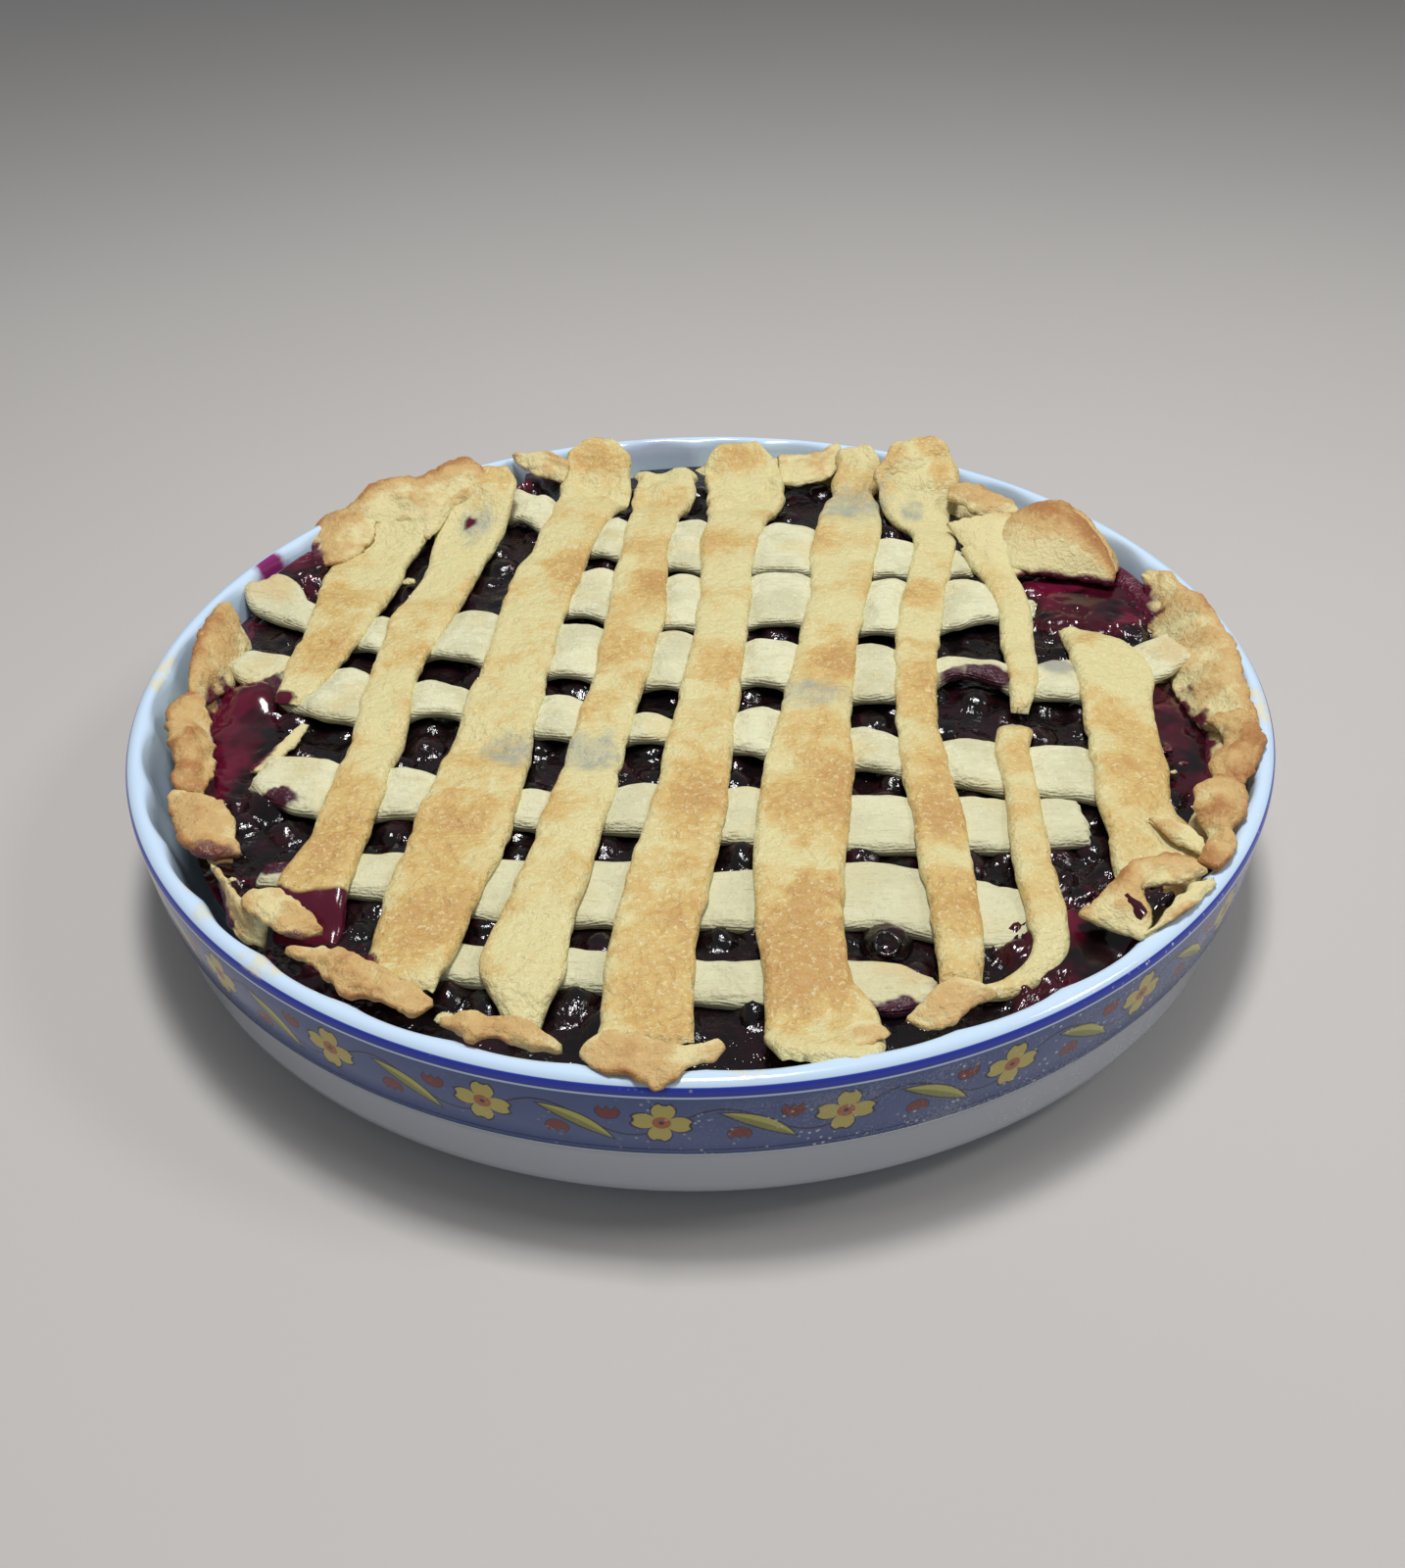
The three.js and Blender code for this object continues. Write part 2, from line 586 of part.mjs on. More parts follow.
// One named piece of the tart.
function piece(name, geometry, finish) {
  const material = new THREE.MeshStandardMaterial({ ...finish, metalness: 0 });
  const mesh = new THREE.Mesh(geometry, material);
  mesh.name = name;
  return mesh;
}

const tart = new THREE.Group();
tart.add(piece("dish", dishGeometry(), GLAZE));
tart.add(piece("pastry_case", geometryFrom(caseSolid()), CRUST));
tart.add(piece("berry_filling", geometryFrom(fillingSolid()), BERRIES));
CROSS_STRIPS.forEach((strip, i) => {
  tart.add(piece(strip.name, crossStripGeometry(i), PALE_PASTRY));
});
LONG_STRIPS.forEach((strip, i) => {
  tart.add(piece(strip.name, longStripGeometry(i), GOLDEN_PASTRY));
});

export default tart;
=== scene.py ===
import math
import random

import bmesh
import bpy
import numpy as np
from mathutils import Matrix, Vector, noise


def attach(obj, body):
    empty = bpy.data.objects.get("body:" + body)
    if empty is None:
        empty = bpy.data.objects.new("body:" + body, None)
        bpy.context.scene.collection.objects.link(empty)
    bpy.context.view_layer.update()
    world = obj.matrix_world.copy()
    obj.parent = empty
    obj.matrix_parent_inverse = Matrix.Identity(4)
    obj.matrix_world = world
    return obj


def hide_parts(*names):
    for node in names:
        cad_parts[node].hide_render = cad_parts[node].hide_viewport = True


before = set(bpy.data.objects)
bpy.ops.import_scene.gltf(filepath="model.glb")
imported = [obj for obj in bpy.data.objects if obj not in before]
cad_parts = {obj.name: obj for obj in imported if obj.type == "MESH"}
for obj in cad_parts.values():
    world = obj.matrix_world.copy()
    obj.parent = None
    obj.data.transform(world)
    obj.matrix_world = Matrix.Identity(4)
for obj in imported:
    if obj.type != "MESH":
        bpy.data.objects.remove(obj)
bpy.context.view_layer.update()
scene = bpy.context.scene


# The dish is white glazed stoneware, cast in one piece with a fluted inside and a rounded lip.
# A proud band under the lip carries a printed border of yellow flowers on blue, fixed under the glaze,
# and a low ring under the rounded lower edge is its foot.
MM = 0.001
FLUTES = 36
FLUTE_DEPTH = 1.4
STEPS_PER_FLUTE = 12
LIP_MIDDLE, INSIDE_FOOT = 146, 8.2
DISH_PROFILE = [
    (0, 2), (121, 2), (122.6, 0.5), (124, 0), (130.4, 0), (132, 0.5), (137, 2.2), (141, 4), (144, 6.3),
    (145.9, 9), (146.6, 12), (146.9, 20.6), (147.3, 22.3), (148.2, 23.6), (148.7, 24.8), (149.3, 32),
    (149.9, 42.6), (149.7, 44.4), (148.7, 45.6), (147, 46), (145.3, 45.6), (144.2, 44.6), (143.7, 43),
    (143.1, 38), (141.8, 30), (140, 22), (137.6, 14), (133, 8.4), (126, 6), (0, 6),
]
dish_shape = bmesh.new()
outline = [dish_shape.verts.new((radius * MM, 0, height * MM)) for radius, height in DISH_PROFILE]
outline_edges = [dish_shape.edges.new(pair) for pair in zip(outline, outline[1:])]
bmesh.ops.spin(
    dish_shape, geom=outline + outline_edges, cent=(0, 0, 0), axis=(0, 0, 1), dvec=(0, 0, 0),
    angle=2 * math.pi, steps=FLUTES * STEPS_PER_FLUTE, use_merge=True, use_duplicate=False,
)
bmesh.ops.remove_doubles(dish_shape, verts=dish_shape.verts[:], dist=0.001 * MM)
for vert in dish_shape.verts:
    radius = math.hypot(vert.co.x, vert.co.y) / MM
    height = vert.co.z / MM
    if radius < LIP_MIDDLE and height > INSIDE_FOOT:
        fade = min(1, (LIP_MIDDLE - radius) / 1.6) * min(1, (height - INSIDE_FOOT) / 8)
        scallop = math.sqrt(math.sin(FLUTES / 2 * math.atan2(vert.co.y, vert.co.x)) ** 2 + 0.01)
        grown = 1 + FLUTE_DEPTH * fade * scallop / radius
        vert.co.x *= grown
        vert.co.y *= grown


def settle(shape, name, material, slot, *nodes):
    """Makes a finished shape a piece of the tart that stands for the solids named."""
    bmesh.ops.recalc_face_normals(shape, faces=shape.faces[:])
    for face in shape.faces:
        face.smooth = True
    mesh = bpy.data.meshes.new(name)
    shape.to_mesh(mesh)
    shape.free()
    mesh.materials.append(material)
    piece = bpy.data.objects.new(name, mesh)
    scene.collection.objects.link(piece)
    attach(piece, "root")
    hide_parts(*nodes)
    return piece


def plug(tree, node, sockets):
    """Sets the sockets of a node to plain values or joins them to tones."""
    for name, value in sockets.items():
        if isinstance(value, Tone):
            tree.links.new(value.socket, node.inputs[name])
        else:
            node.inputs[name].default_value = value


class Tone:
    """A socket of a material. Arithmetic on tones adds the Math nodes that work it out."""

    def __init__(self, tree, socket=None):
        self.tree = tree
        self.socket = socket

    def node(self, kind, settings=None, sockets=None, out=0):
        made = self.tree.nodes.new(kind)
        for name, value in (settings or {}).items():
            setattr(made, name, value)
        plug(self.tree, made, sockets or {})
        return Tone(self.tree, made.outputs[out])

    def math(self, operation, *values):
        return self.node("ShaderNodeMath", {"operation": operation}, dict(enumerate(values)))

    def __add__(self, other):
        return self.math("ADD", self, other)

    def __sub__(self, other):
        return self.math("SUBTRACT", self, other)

    def __rsub__(self, other):
        return self.math("SUBTRACT", other, self)

    def __mul__(self, other):
        return self.math("MULTIPLY", self, other)

    def __truediv__(self, other):
        return self.math("DIVIDE", self, other)

    def __abs__(self):
        return self.math("ABSOLUTE", self)

    __radd__ = __add__
    __rmul__ = __mul__

    def apply(self, operation):
        return self.math(operation, self)

    def most(self, other):
        return self.math("MAXIMUM", self, other)

    def between(self, low, high):
        """0 below low, 1 above high and a soft step between them."""
        sockets = {"Value": self, "From Min": low, "From Max": high}
        return self.node("ShaderNodeMapRange", {"interpolation_type": "SMOOTHSTEP"}, sockets)

    def lay(self, under, colour):
        """This mask lays a colour over the one under it."""
        return self.node("ShaderNodeMix", {"data_type": "RGBA"}, {0: self, 6: under, 7: colour}, out=2)

    def mottle(self, size, detail=3.0, roughness=0.5):
        """Cloudy variation at a place, with patches of about that size in millimetres."""
        sockets = {"Vector": self, "Scale": 1 / (size * MM), "Detail": detail, "Roughness": roughness}
        return self.node("ShaderNodeTexNoise", None, sockets)

    def cells(self, size):
        """How far a place is from the middle of its cell, with cells of about that size in millimetres."""
        return self.node("ShaderNodeTexVoronoi", None, {"Vector": self, "Scale": 1 / (size * MM)})

    def mask(self, name):
        """A mask that the mesh carries at its points."""
        return self.node("ShaderNodeAttribute", {"attribute_name": name}, out="Fac")

    def relief(self, depth, strength=1.0):
        """The normal of a surface with this height, for a depth in millimetres."""
        sockets = {"Height": self, "Distance": depth * MM, "Strength": strength}
        return self.node("ShaderNodeBump", None, sockets)


def colour(red, green, blue):
    """A colour from 0 to 255 as the linear numbers that a shader takes."""
    shares = [value / 255 for value in (red, green, blue)]
    return (*[s / 12.92 if s <= 0.04045 else ((s + 0.055) / 1.055) ** 2.4 for s in shares], 1)


def new_finish(name):
    """A material, its coordinates on the piece, and these split into millimetres."""
    material = bpy.data.materials.new(name)
    material.use_nodes = True
    place = Tone(material.node_tree).node("ShaderNodeTexCoord", out="Object")
    split = [place.node("ShaderNodeSeparateXYZ", None, {"Vector": place}, out=axis) for axis in range(3)]
    return material, place, [metres * (1 / MM) for metres in split]


def coat(material, sockets):
    """Sets the sockets of a material's surface."""
    plug(material.node_tree, material.node_tree.nodes["Principled BSDF"], sockets)


GLAZE_WHITE = colour(210, 232, 252)
BAND_BLUE = colour(78, 98, 152)
LINE_BLUE = colour(46, 64, 178)
INK_BLUE = colour(26, 30, 68)
PETAL_YELLOW = colour(198, 182, 90)
FLOWER_CENTRE = colour(176, 98, 44)
LEAF_GREEN = colour(192, 188, 90)
LEAF_SHADE = colour(140, 140, 58)
TULIP_RED = colour(122, 34, 32)
FLOUR_WHITE = colour(236, 236, 232)
DOUGH_SMEAR = colour(226, 216, 172)
JUICE_STAIN = colour(140, 40, 110)
BORDER_REPEATS = 26
BAND_RADIUS = 149.5
BORDER_PERIOD = 2 * math.pi * BAND_RADIUS / BORDER_REPEATS
FIRST_FLOWER = -math.pi / 2 - 0.06
FLOWER_HEIGHT = 35
BAND_LOW, BAND_HIGH = 24.6, 42.4
LINE_LOW, LINE_HIGH = 43, 45
FINE_LINE, LOWEST_LINE = 26.1, 24.7

glaze, place, (x, y, z) = new_finish("glaze")
radius = (x * x + y * y).apply("SQRT")
turn = y.math("ARCTAN2", y, x)
along = (turn - FIRST_FLOWER) * (BORDER_REPEATS / (2 * math.pi))
up = z - FLOWER_HEIGHT


def beside(share):
    """Millimetres along the band from a place in the repeat."""
    return ((along - share + 0.5).apply("FRACT") - 0.5) * BORDER_PERIOD


def tulip(share, height, pointing):
    """A small closed flower with three teeth."""
    across = beside(share)
    rise = (up - height) * pointing
    body = 1 - (across * across) / 5.6 - (rise * rise) / 5.0
    teeth = 1.7 - abs((across * 1.9).apply("SINE")) * 1.2 - rise
    return body.math("MINIMUM", body, teeth * 0.6)


flower_across = beside(0)
flower_reach = (flower_across * flower_across + up * up).apply("SQRT")
flower_turn = up.math("ARCTAN2", up, flower_across)
lobes = abs((flower_turn * 2 + 0.25).apply("COSINE"))
petal_edge = 1.9 + lobes.math("POWER", lobes, 0.6) * 4.3 - lobes.between(0.93, 1) * 0.7 - flower_reach
leaf_across = beside(0.535)
leaf_up = up + 0.9
leaf_along = leaf_across * 0.861 - leaf_up * 0.509
leaf_off = leaf_across * 0.509 + leaf_up * 0.861 + leaf_along * leaf_along * 0.014 - 0.4
leaf_edge = 1.7 - leaf_along * leaf_along * (1.7 / 76) - abs(leaf_off)
vine_up = ((along - 0.08) * (2 * math.pi)).apply("SINE") * 4.2
vine_edge = 0.4 - abs(up - vine_up)
hanging = tulip(0.42, -3.9, -1)
upright = tulip(0.71, 2.8, 1)

outside = radius.between(147.0, 147.4)
on_band = z.between(BAND_LOW, BAND_LOW + 0.2) * z.between(BAND_HIGH + 0.2, BAND_HIGH) * outside
on_line = z.between(LINE_LOW - 0.1, LINE_LOW + 0.1) * z.between(LINE_HIGH + 0.1, LINE_HIGH - 0.1) * outside
fine_line = (0.16 - abs(z - FINE_LINE)).between(-0.1, 0.1) * outside
low_line = (0.24 - abs(z - LOWEST_LINE)).between(-0.1, 0.1) * outside
print_wash = place.mottle(6, 4)
blue = print_wash.lay(BAND_BLUE, colour(66, 84, 138))
border = vine_edge.between(0, 0.2).lay(blue, INK_BLUE)
border = (leaf_edge + 0.42).between(0, 0.25).lay(border, INK_BLUE)
border = leaf_edge.between(0, 0.25).lay(border, leaf_off.between(-0.3, 0.3).lay(LEAF_SHADE, LEAF_GREEN))
for bloom in (hanging, upright):
    border = (bloom + 0.22).between(0, 0.1).lay(border, INK_BLUE)
    border = bloom.between(0, 0.1).lay(border, TULIP_RED)
border = (petal_edge + 0.6).between(0, 0.25).lay(border, INK_BLUE)
border = petal_edge.between(0, 0.25).lay(border, PETAL_YELLOW)
border = (2.0 - flower_reach).between(0, 0.3).lay(border, FLOWER_CENTRE)
border = (0.7 - flower_reach).between(0, 0.3).lay(border, INK_BLUE)
glazed = on_band.lay(place.mottle(30, 2).lay(GLAZE_WHITE, colour(202, 225, 249)), border)
# Painted shade: the outer wall under the band is laid a darker warm grey, as if in shade.
painted_shade_below_band = z.between(24.6, 22.5) * radius.between(141.5, 143)
glazed = (painted_shade_below_band * 0.7).lay(glazed, colour(190, 184, 184))
glazed = on_line.lay(glazed, LINE_BLUE)
glazed = fine_line.most(low_line).lay(glazed, INK_BLUE)


def patch(at_x, at_y, half_x, half_y, soft=0.35):
    """A mask with a ragged edge round a place seen from above, in millimetres."""
    ragged = (place.mottle(5, 4) - 0.5) * 1.1
    across = (x - at_x) / half_x
    deep = (y - at_y) / half_y
    return ((across * across + deep * deep).apply("SQRT") + ragged).between(1 + soft, 1 - soft)


on_lip = z.between(44.4, 45.2)
smear = patch(-113, -86, 3.4, 5).most(patch(-108, -97, 3.2, 4)).most(patch(-91, -114, 7, 4))
smear = smear.most(patch(-145, 0, 3.6, 9)).most(patch(145, -28, 3.2, 9)).most(patch(7.7, -144.6, 3.6, 2.8))
smear = smear * on_lip * place.mottle(3, 3).between(0.3, 0.6)
stain = patch(-131, 61.5, 5, 6) * z.between(40, 41.5) * radius.between(148, 147)
stain = stain.most(patch(88, -113, 16, 8) * z.between(41, 43) * radius.between(145.2, 144.2) * 0.7)
stain = stain.most(patch(-12, 141, 16, 5) * z.between(37, 41) * 0.18)
glazed = stain.lay(glazed, JUICE_STAIN)
glazed = (smear * 0.75).lay(glazed, DOUGH_SMEAR)
dusty = turn.between(-1.75, -1.1) * turn.between(-0.1, -0.6) * outside
fine = place.mottle(0.55, 2)
dust_lie = (place.mottle(20, 3) * 0.6 + fine * 0.6).between(0.58, 0.76) * dusty
dust_lie = dust_lie * z.between(43, 40) * z.between(20, 24)
dust_streak = z.between(9, 13) * z.between(21, 17) * turn.between(-1.25, -1.1) * turn.between(-0.7, -0.9)
dust_lie = dust_lie.most(dust_streak * (fine * 0.6 + place.mottle(7, 3) * 0.5).between(0.54, 0.72) * 0.5)
grains = place.cells(1.8).between(0.24, 0.15) * place.mottle(8, 3).between(0.44, 0.62)
grains = grains * turn.between(-2.1, -1.2) * turn.between(0.1, -0.4) * outside
glazed = (dust_lie * 0.28).most(grains * 0.75).lay(glazed, FLOUR_WHITE)
soiled = dust_lie.most(smear)
coat(glaze, {
    "Base Color": glazed,
    "Roughness": 0.1 + soiled * 0.5 + place.mottle(20, 2) * 0.06,
    "Normal": (soiled * 0.6 + place.mottle(9, 2) * 0.4).relief(0.25, 0.5),
})
settle(dish_shape, "glazed_dish", glaze, "glazed_dish", "dish")


# The cross strips are flat ribbons of pale dough, cut by hand, laid from side to side on the berries.
# They have puffed between the long strips in the oven, and their cut edges show thin layers.
CROSS_BED, CROSS_THICKNESS = 37.0, 3.6
LONG_BED, LONG_THICKNESS = 41.0, 3.3
# Stations give x, y and width. A raised start or end gives its rise and the length that it takes.
CROSS_STRIPS = {
    "cross_strip_1": dict(stations=[
        (-64, 108, 13), (-56, 104, 16), (-27, 82, 22), (0, 75, 31), (30, 71, 29), (62, 64, 22),
        (85, 60, 14)]),
    "cross_strip_2": dict(stations=[
        (-46, 48, 22), (-32, 46, 26), (0, 40, 29), (27, 40, 27), (56, 34, 29), (80, 36, 25), (99, 31, 7)]),
    "cross_strip_3": dict(stations=[
        (-132, 53, 12), (-127, 48, 17), (-121, 42, 12), (-112, 36, 13), (-97, 27, 16), (-67, 23, 24),
        (-32, 13, 27), (0, 7, 25), (20, 5, 21), (48, -1, 27), (72, 0, 9), (97, -7, 18), (118, -1, 17),
        (134, 5, 13)], start=(4.6, 16), end=(1.6, 12)),
    "cross_strip_4": dict(stations=[
        (-130, 14, 9), (-124, 10.4, 15), (-112, 3, 18), (-97, -6, 23), (-67, -11, 13), (-32, -21, 17),
        (-6, -26, 10.5), (20, -28, 20), (48, -38, 15), (72, -44, 19), (100, -49, 20)], start=(1.5, 10)),
    "cross_strip_5": dict(stations=[
        (-111.5, -41.2, 10), (-106, -42.8, 15.5), (-97, -46, 19), (-67, -51, 16), (-37, -57, 14),
        (-10, -58, 18), (20, -62, 20), (48, -65, 20), (92, -67, 15)]),
    "cross_strip_6": dict(stations=[
        (-103, -78, 6), (-75, -79, 14), (-45, -85, 19), (-20, -87, 21), (5, -90, 18), (42, -90, 21),
        (68, -97, 18), (78, -94, 8)]),
    "cross_strip_7": dict(stations=[
        (-62, -105, 11), (-50, -108.5, 12), (-26, -111, 11), (4, -115.6, 13), (30, -117, 14),
        (41, -118.3, 14), (49, -119, 6)]),
}
LONG_STRIPS = {
    "long_strip_1": dict(stations=[
        (-97, 103, 25), (-98, 97, 28), (-100, 88, 29), (-102, 76, 25.5), (-103, 56, 24.5), (-104, 38, 21),
        (-106, 18, 16.5), (-109, -3, 12), (-111, -11, 7)], start=(8.5, 30)),
    "long_strip_2": dict(stations=[
        (-74, 111, 21), (-73, 103, 26), (-73, 95, 26), (-74, 82, 21.5), (-76, 58, 16), (-79, 42, 19),
        (-83, 16, 14.5), (-84, -40, 14), (-86, -66, 14), (-88, -90, 16.5),
        (-88, -101, 15)], start=(10, 34), end=(-4.5, 15)),
    "long_strip_3": dict(stations=[
        (-34, 136, 9), (-33, 130, 20), (-33, 120, 24), (-34, 112, 23), (-38, 95, 20), (-46, 54, 21),
        (-50, 14, 19), (-53, -25, 21), (-58, -72, 23.5), (-62, -102, 19.5),
        (-64, -120, 16)], start=(9.6, 28), end=(3, 14)),
    "long_strip_4": dict(stations=[
        (-10, 128, 21), (-10, 112, 20.5), (-14, 93, 16.5), (-18, 34, 17.5), (-22, -6, 15.5),
        (-26, -32, 14.5), (-31, -66, 16), (-37, -102, 17), (-38.4, -112, 18), (-38.2, -118, 15.5),
        (-37.6, -123.5, 10), (-37, -129.5, 6)], start=(1.2, 36), end=(-1, 10)),
    "long_strip_5": dict(stations=[
        (17, 138, 10), (17, 131, 22), (17, 117, 26), (16, 104, 25), (14, 92, 20), (11, 78, 18.5),
        (9, 50, 16), (6, 14, 15.5), (1, -26, 17), (-4, -66, 19), (-11, -106, 18),
        (-12, -136, 19)], start=(6.5, 26), end=(3.2, 14)),
    "long_strip_6": dict(stations=[
        (56.5, 131, 6), (56, 124, 14), (54, 108, 15.5), (51, 95, 20), (48.7, 81, 21.4), (41, 34, 17),
        (33, -6, 17), (27, -44, 22.5), (24, -66, 22.5), (21, -106, 19.5), (21.6, -122, 19.5),
        (23.4, -131, 23.5), (23.2, -136.5, 24), (22.2, -142.8, 15)], start=(8.2, 26), end=(4.2, 16)),
    "long_strip_7": dict(stations=[
        (76, 121, 11), (75, 115, 20), (74.3, 106, 27.5), (73.5, 97, 24.5), (75.5, 84, 14.5), (75, 70, 13.5),
        (69, 46, 12.5), (62, 14, 12), (57, -25, 11.2), (56, -65, 12.5), (55, -104, 11),
        (53, -121, 9)], start=(14, 32)),
    "long_strip_8_back": dict(stations=[
        (88, 67, 13), (90, 58, 14), (91.5, 48, 11), (92.5, 36, 9.7), (91, 16, 9), (88.5, -2, 8.5),
        (86.4, -13, 7), (84.6, -20, 4.6)], start=(1.2, 14), end=(-0.8, 10)),
    "long_strip_8_front": dict(stations=[
        (83, -24, 4), (82, -28, 9), (80, -34, 9), (78, -55, 8), (75, -90, 9.5), (75, -102, 9),
        (74, -109, 7.5), (70, -115, 6), (64.6, -118.6, 4.6),
        (57, -121.4, 3)], start=(-1.6, 9), end=(-1.2, 26)),
    "long_strip_9": dict(stations=[
        (106, 22, 5), (109, 14, 12), (112, 5, 19), (110, -25, 18.5), (107, -46, 19.5), (104, -64, 18),
        (105.5, -76, 22), (102, -89, 18)], start=(-0.8, 9)),
}
STRIP_STEP = 1.3
RIBBON_ROUND = 44
TOP_ROUND, UNDER_ROUND, END_ROUND = 2.3, 0.9, 1.7
EDGE_RISE = 0.42
CRUMPLED_BACK = (92, 108)


def through(places, values, wanted):
    """A smooth curve through values at places, read at the places wanted."""
    slopes = np.gradient(values, places)
    low = np.clip(np.searchsorted(places, wanted) - 1, 0, len(places) - 2)
    span = places[low + 1] - places[low]
    share = (wanted - places[low]) / span
    rest = 1 - share
    from_low = rest * rest * ((1 + 2 * share) * values[low] + share * span * slopes[low])
    from_high = share * share * ((1 + 2 * rest) * values[low + 1] - rest * span * slopes[low + 1])
    return from_low + from_high


def places_along(line):
    """How far along a line each of its points lies."""
    return np.concatenate([[0], np.cumsum(np.linalg.norm(np.diff(line, axis=0), axis=1))])


def strip_run(strip, step):
    """Points of x, y and width along a strip, a step apart."""
    stations = np.array(strip["stations"], float)
    places = places_along(stations[:, :2])
    wanted = np.linspace(0, places[-1], round(places[-1] / step) + 1)
    return np.stack([through(places, stations[:, column], wanted) for column in range(3)], axis=1)


def beyond(runs, points):
    """How far points lie outside the nearest strip, seen from above (negative on a strip)."""
    least = np.full(len(points), np.inf)
    for run in runs:
        near, far = run[:-1], run[1:]
        span = far[:, :2] - near[:, :2]
        offset = points[:, None, :] - near[None, :, :2]
        share = np.clip((offset * span).sum(-1) / (span**2).sum(-1), 0, 1)
        gap = np.linalg.norm(offset - share[..., None] * span, axis=-1)
        half = (near[:, 2] + share * (far[:, 2] - near[:, 2])) / 2
        least = np.minimum(least, (gap - half).min(1))
    return least


def ripple(points, size, seed):
    """Smooth random numbers of about -1 to 1 at points, with hills of about that size."""
    shift = Vector((seed * 7.31, seed * 3.77, seed * 5.13))
    return np.array([noise.noise(Vector(point).to_3d() / size + shift) for point in points]) * 1.4


def soft_step(low, high, values):
    """0 below low, 1 above high and a soft step between them."""
    share = np.clip((values - low) / (high - low), 0, 1)
    return share * share * (3 - 2 * share)


def new_grid(columns, rows):
    """A flat grid, and how far along and up it every point lies, from 0 to 1."""
    shape = bmesh.new()
    bmesh.ops.create_grid(shape, x_segments=columns, y_segments=rows, size=1)
    return shape, *((np.array([vert.co for vert in shape.verts])[:, :2] + 1) / 2).T


def new_ribbon(columns):
    """A grid that closes round a ribbon: shares lengthwise, which points lie on top, places across."""
    shape, lengthwise, round_it = new_grid(columns, RIBBON_ROUND)
    upper = round_it < 0.5
    across = np.sin(np.pi / 2 * np.where(upper, 1 - 4 * round_it, 4 * round_it - 3))
    return shape, lengthwise, upper, across


def rounded(distance, radius):
    """A quarter round: 0 at an edge and 1 from a radius away."""
    return np.sqrt(1 - np.clip(1 - distance / radius, 0, 1) ** 2)


def mould(shape, points, **masks):
    """Moves a shape's points to their places in millimetres and keeps masks for its material."""
    layers = {name: shape.verts.layers.float.new(name) for name in masks}
    for index, vert in enumerate(shape.verts):
        vert.co = points[index] * MM
        for name, layer in layers.items():
            vert[layer] = masks[name][index]
    bmesh.ops.remove_doubles(shape, verts=shape.verts[:], dist=0.004 * MM)


def spots(points, places):
    """The strongest of several ragged round marks, given as x, y, half width and half length."""
    mark = np.zeros(len(points))
    ragged = ripple(points, 5, 3) * 0.3 + ripple(points, 2.2, 4) * 0.2
    for at_x, at_y, half_x, half_y in places:
        reach = np.hypot((points[:, 0] - at_x) / half_x, (points[:, 1] - at_y) / half_y) + ragged
        mark = np.maximum(mark, 1 - soft_step(0.4, 1.2, reach))
    return mark


def strip_shape(strip, bed, thickness, settling, layered, seed):
    """A ribbon of dough: its grid, its points in millimetres, and where they lie on it."""
    run = strip_run(strip, STRIP_STEP)
    shape, lengthwise, upper, share = new_ribbon(len(run) - 1)
    length = places_along(run[:, :2])[-1]
    from_end = np.minimum(lengthwise, 1 - lengthwise) * length
    places = np.linspace(0, 1, len(run))
    ragged = ripple(np.stack([share * 9, lengthwise * 0], 1), 3.2, seed)
    ragged = ragged * (1 - soft_step(0, 9, from_end))
    centre = np.stack([np.interp(lengthwise, places, run[:, column]) for column in range(2)], 1)
    width = np.interp(lengthwise, places, run[:, 2])
    slope = np.gradient(run[:, :2], axis=0)
    slope /= np.linalg.norm(slope, axis=1)[:, None]
    heading = np.stack([np.interp(lengthwise, places, slope[:, column]) for column in range(2)], 1)
    sideways = np.stack([-heading[:, 1], heading[:, 0]], 1)
    edge_line = np.stack([lengthwise * length, np.sign(share) * 40], 1)
    wander = 0.75 * ripple(edge_line, 15, seed) + 0.35 * ripple(edge_line, 5, seed + 1)
    wander = wander + 1.5 * ripple(edge_line, 6, seed + 6) * soft_step(*CRUMPLED_BACK, centre[:, 1])
    half = width / 2 + wander * np.minimum(1, width / 12)
    across = share * half
    ragged = ragged * np.minimum(1, width / 16)
    outline = centre + sideways * across[:, None] + heading * ragged[:, None]
    from_edge = half - np.abs(across)
    crown = rounded(from_edge, TOP_ROUND) * rounded(from_end, END_ROUND)
    belly = rounded(from_edge, UNDER_ROUND) * rounded(from_end, END_ROUND)
    height = thickness * np.where(upper, EDGE_RISE + (1 - EDGE_RISE) * crown, EDGE_RISE * (1 - belly))
    for (rise, reach), distance in (
        (strip.get("start", (0, 1)), lengthwise * length),
        (strip.get("end", (0, 1)), (1 - lengthwise) * length),
    ):
        height = height + rise * (1 - soft_step(0, reach, distance))
    height = height + bed + settling(outline)
    points = np.column_stack([outline, height])
    lumps = 0.45 * ripple(points, 14, seed + 2) + 0.34 * ripple(points, 6, seed + 3)
    lumps = lumps + 0.16 * ripple(points, 2.6, seed + 4)
    crumple = 2.0 * ripple(points, 7, seed + 5) * soft_step(*CRUMPLED_BACK, points[:, 1])
    grain = np.column_stack([lengthwise * length * 0.16, across, upper * 9.0])
    creases = 0.3 * np.abs(ripple(grain, 1.8, seed + 8))
    points[:, 2] += (lumps + crumple + creases * layered) * np.where(upper, crown, 0.4)
    return shape, points, dict(edge=1 - crown * upper, lumps=lumps)


cross_runs = [strip_run(strip, 6) for strip in CROSS_STRIPS.values()]
long_runs = [strip_run(strip, 6) for strip in LONG_STRIPS.values()]


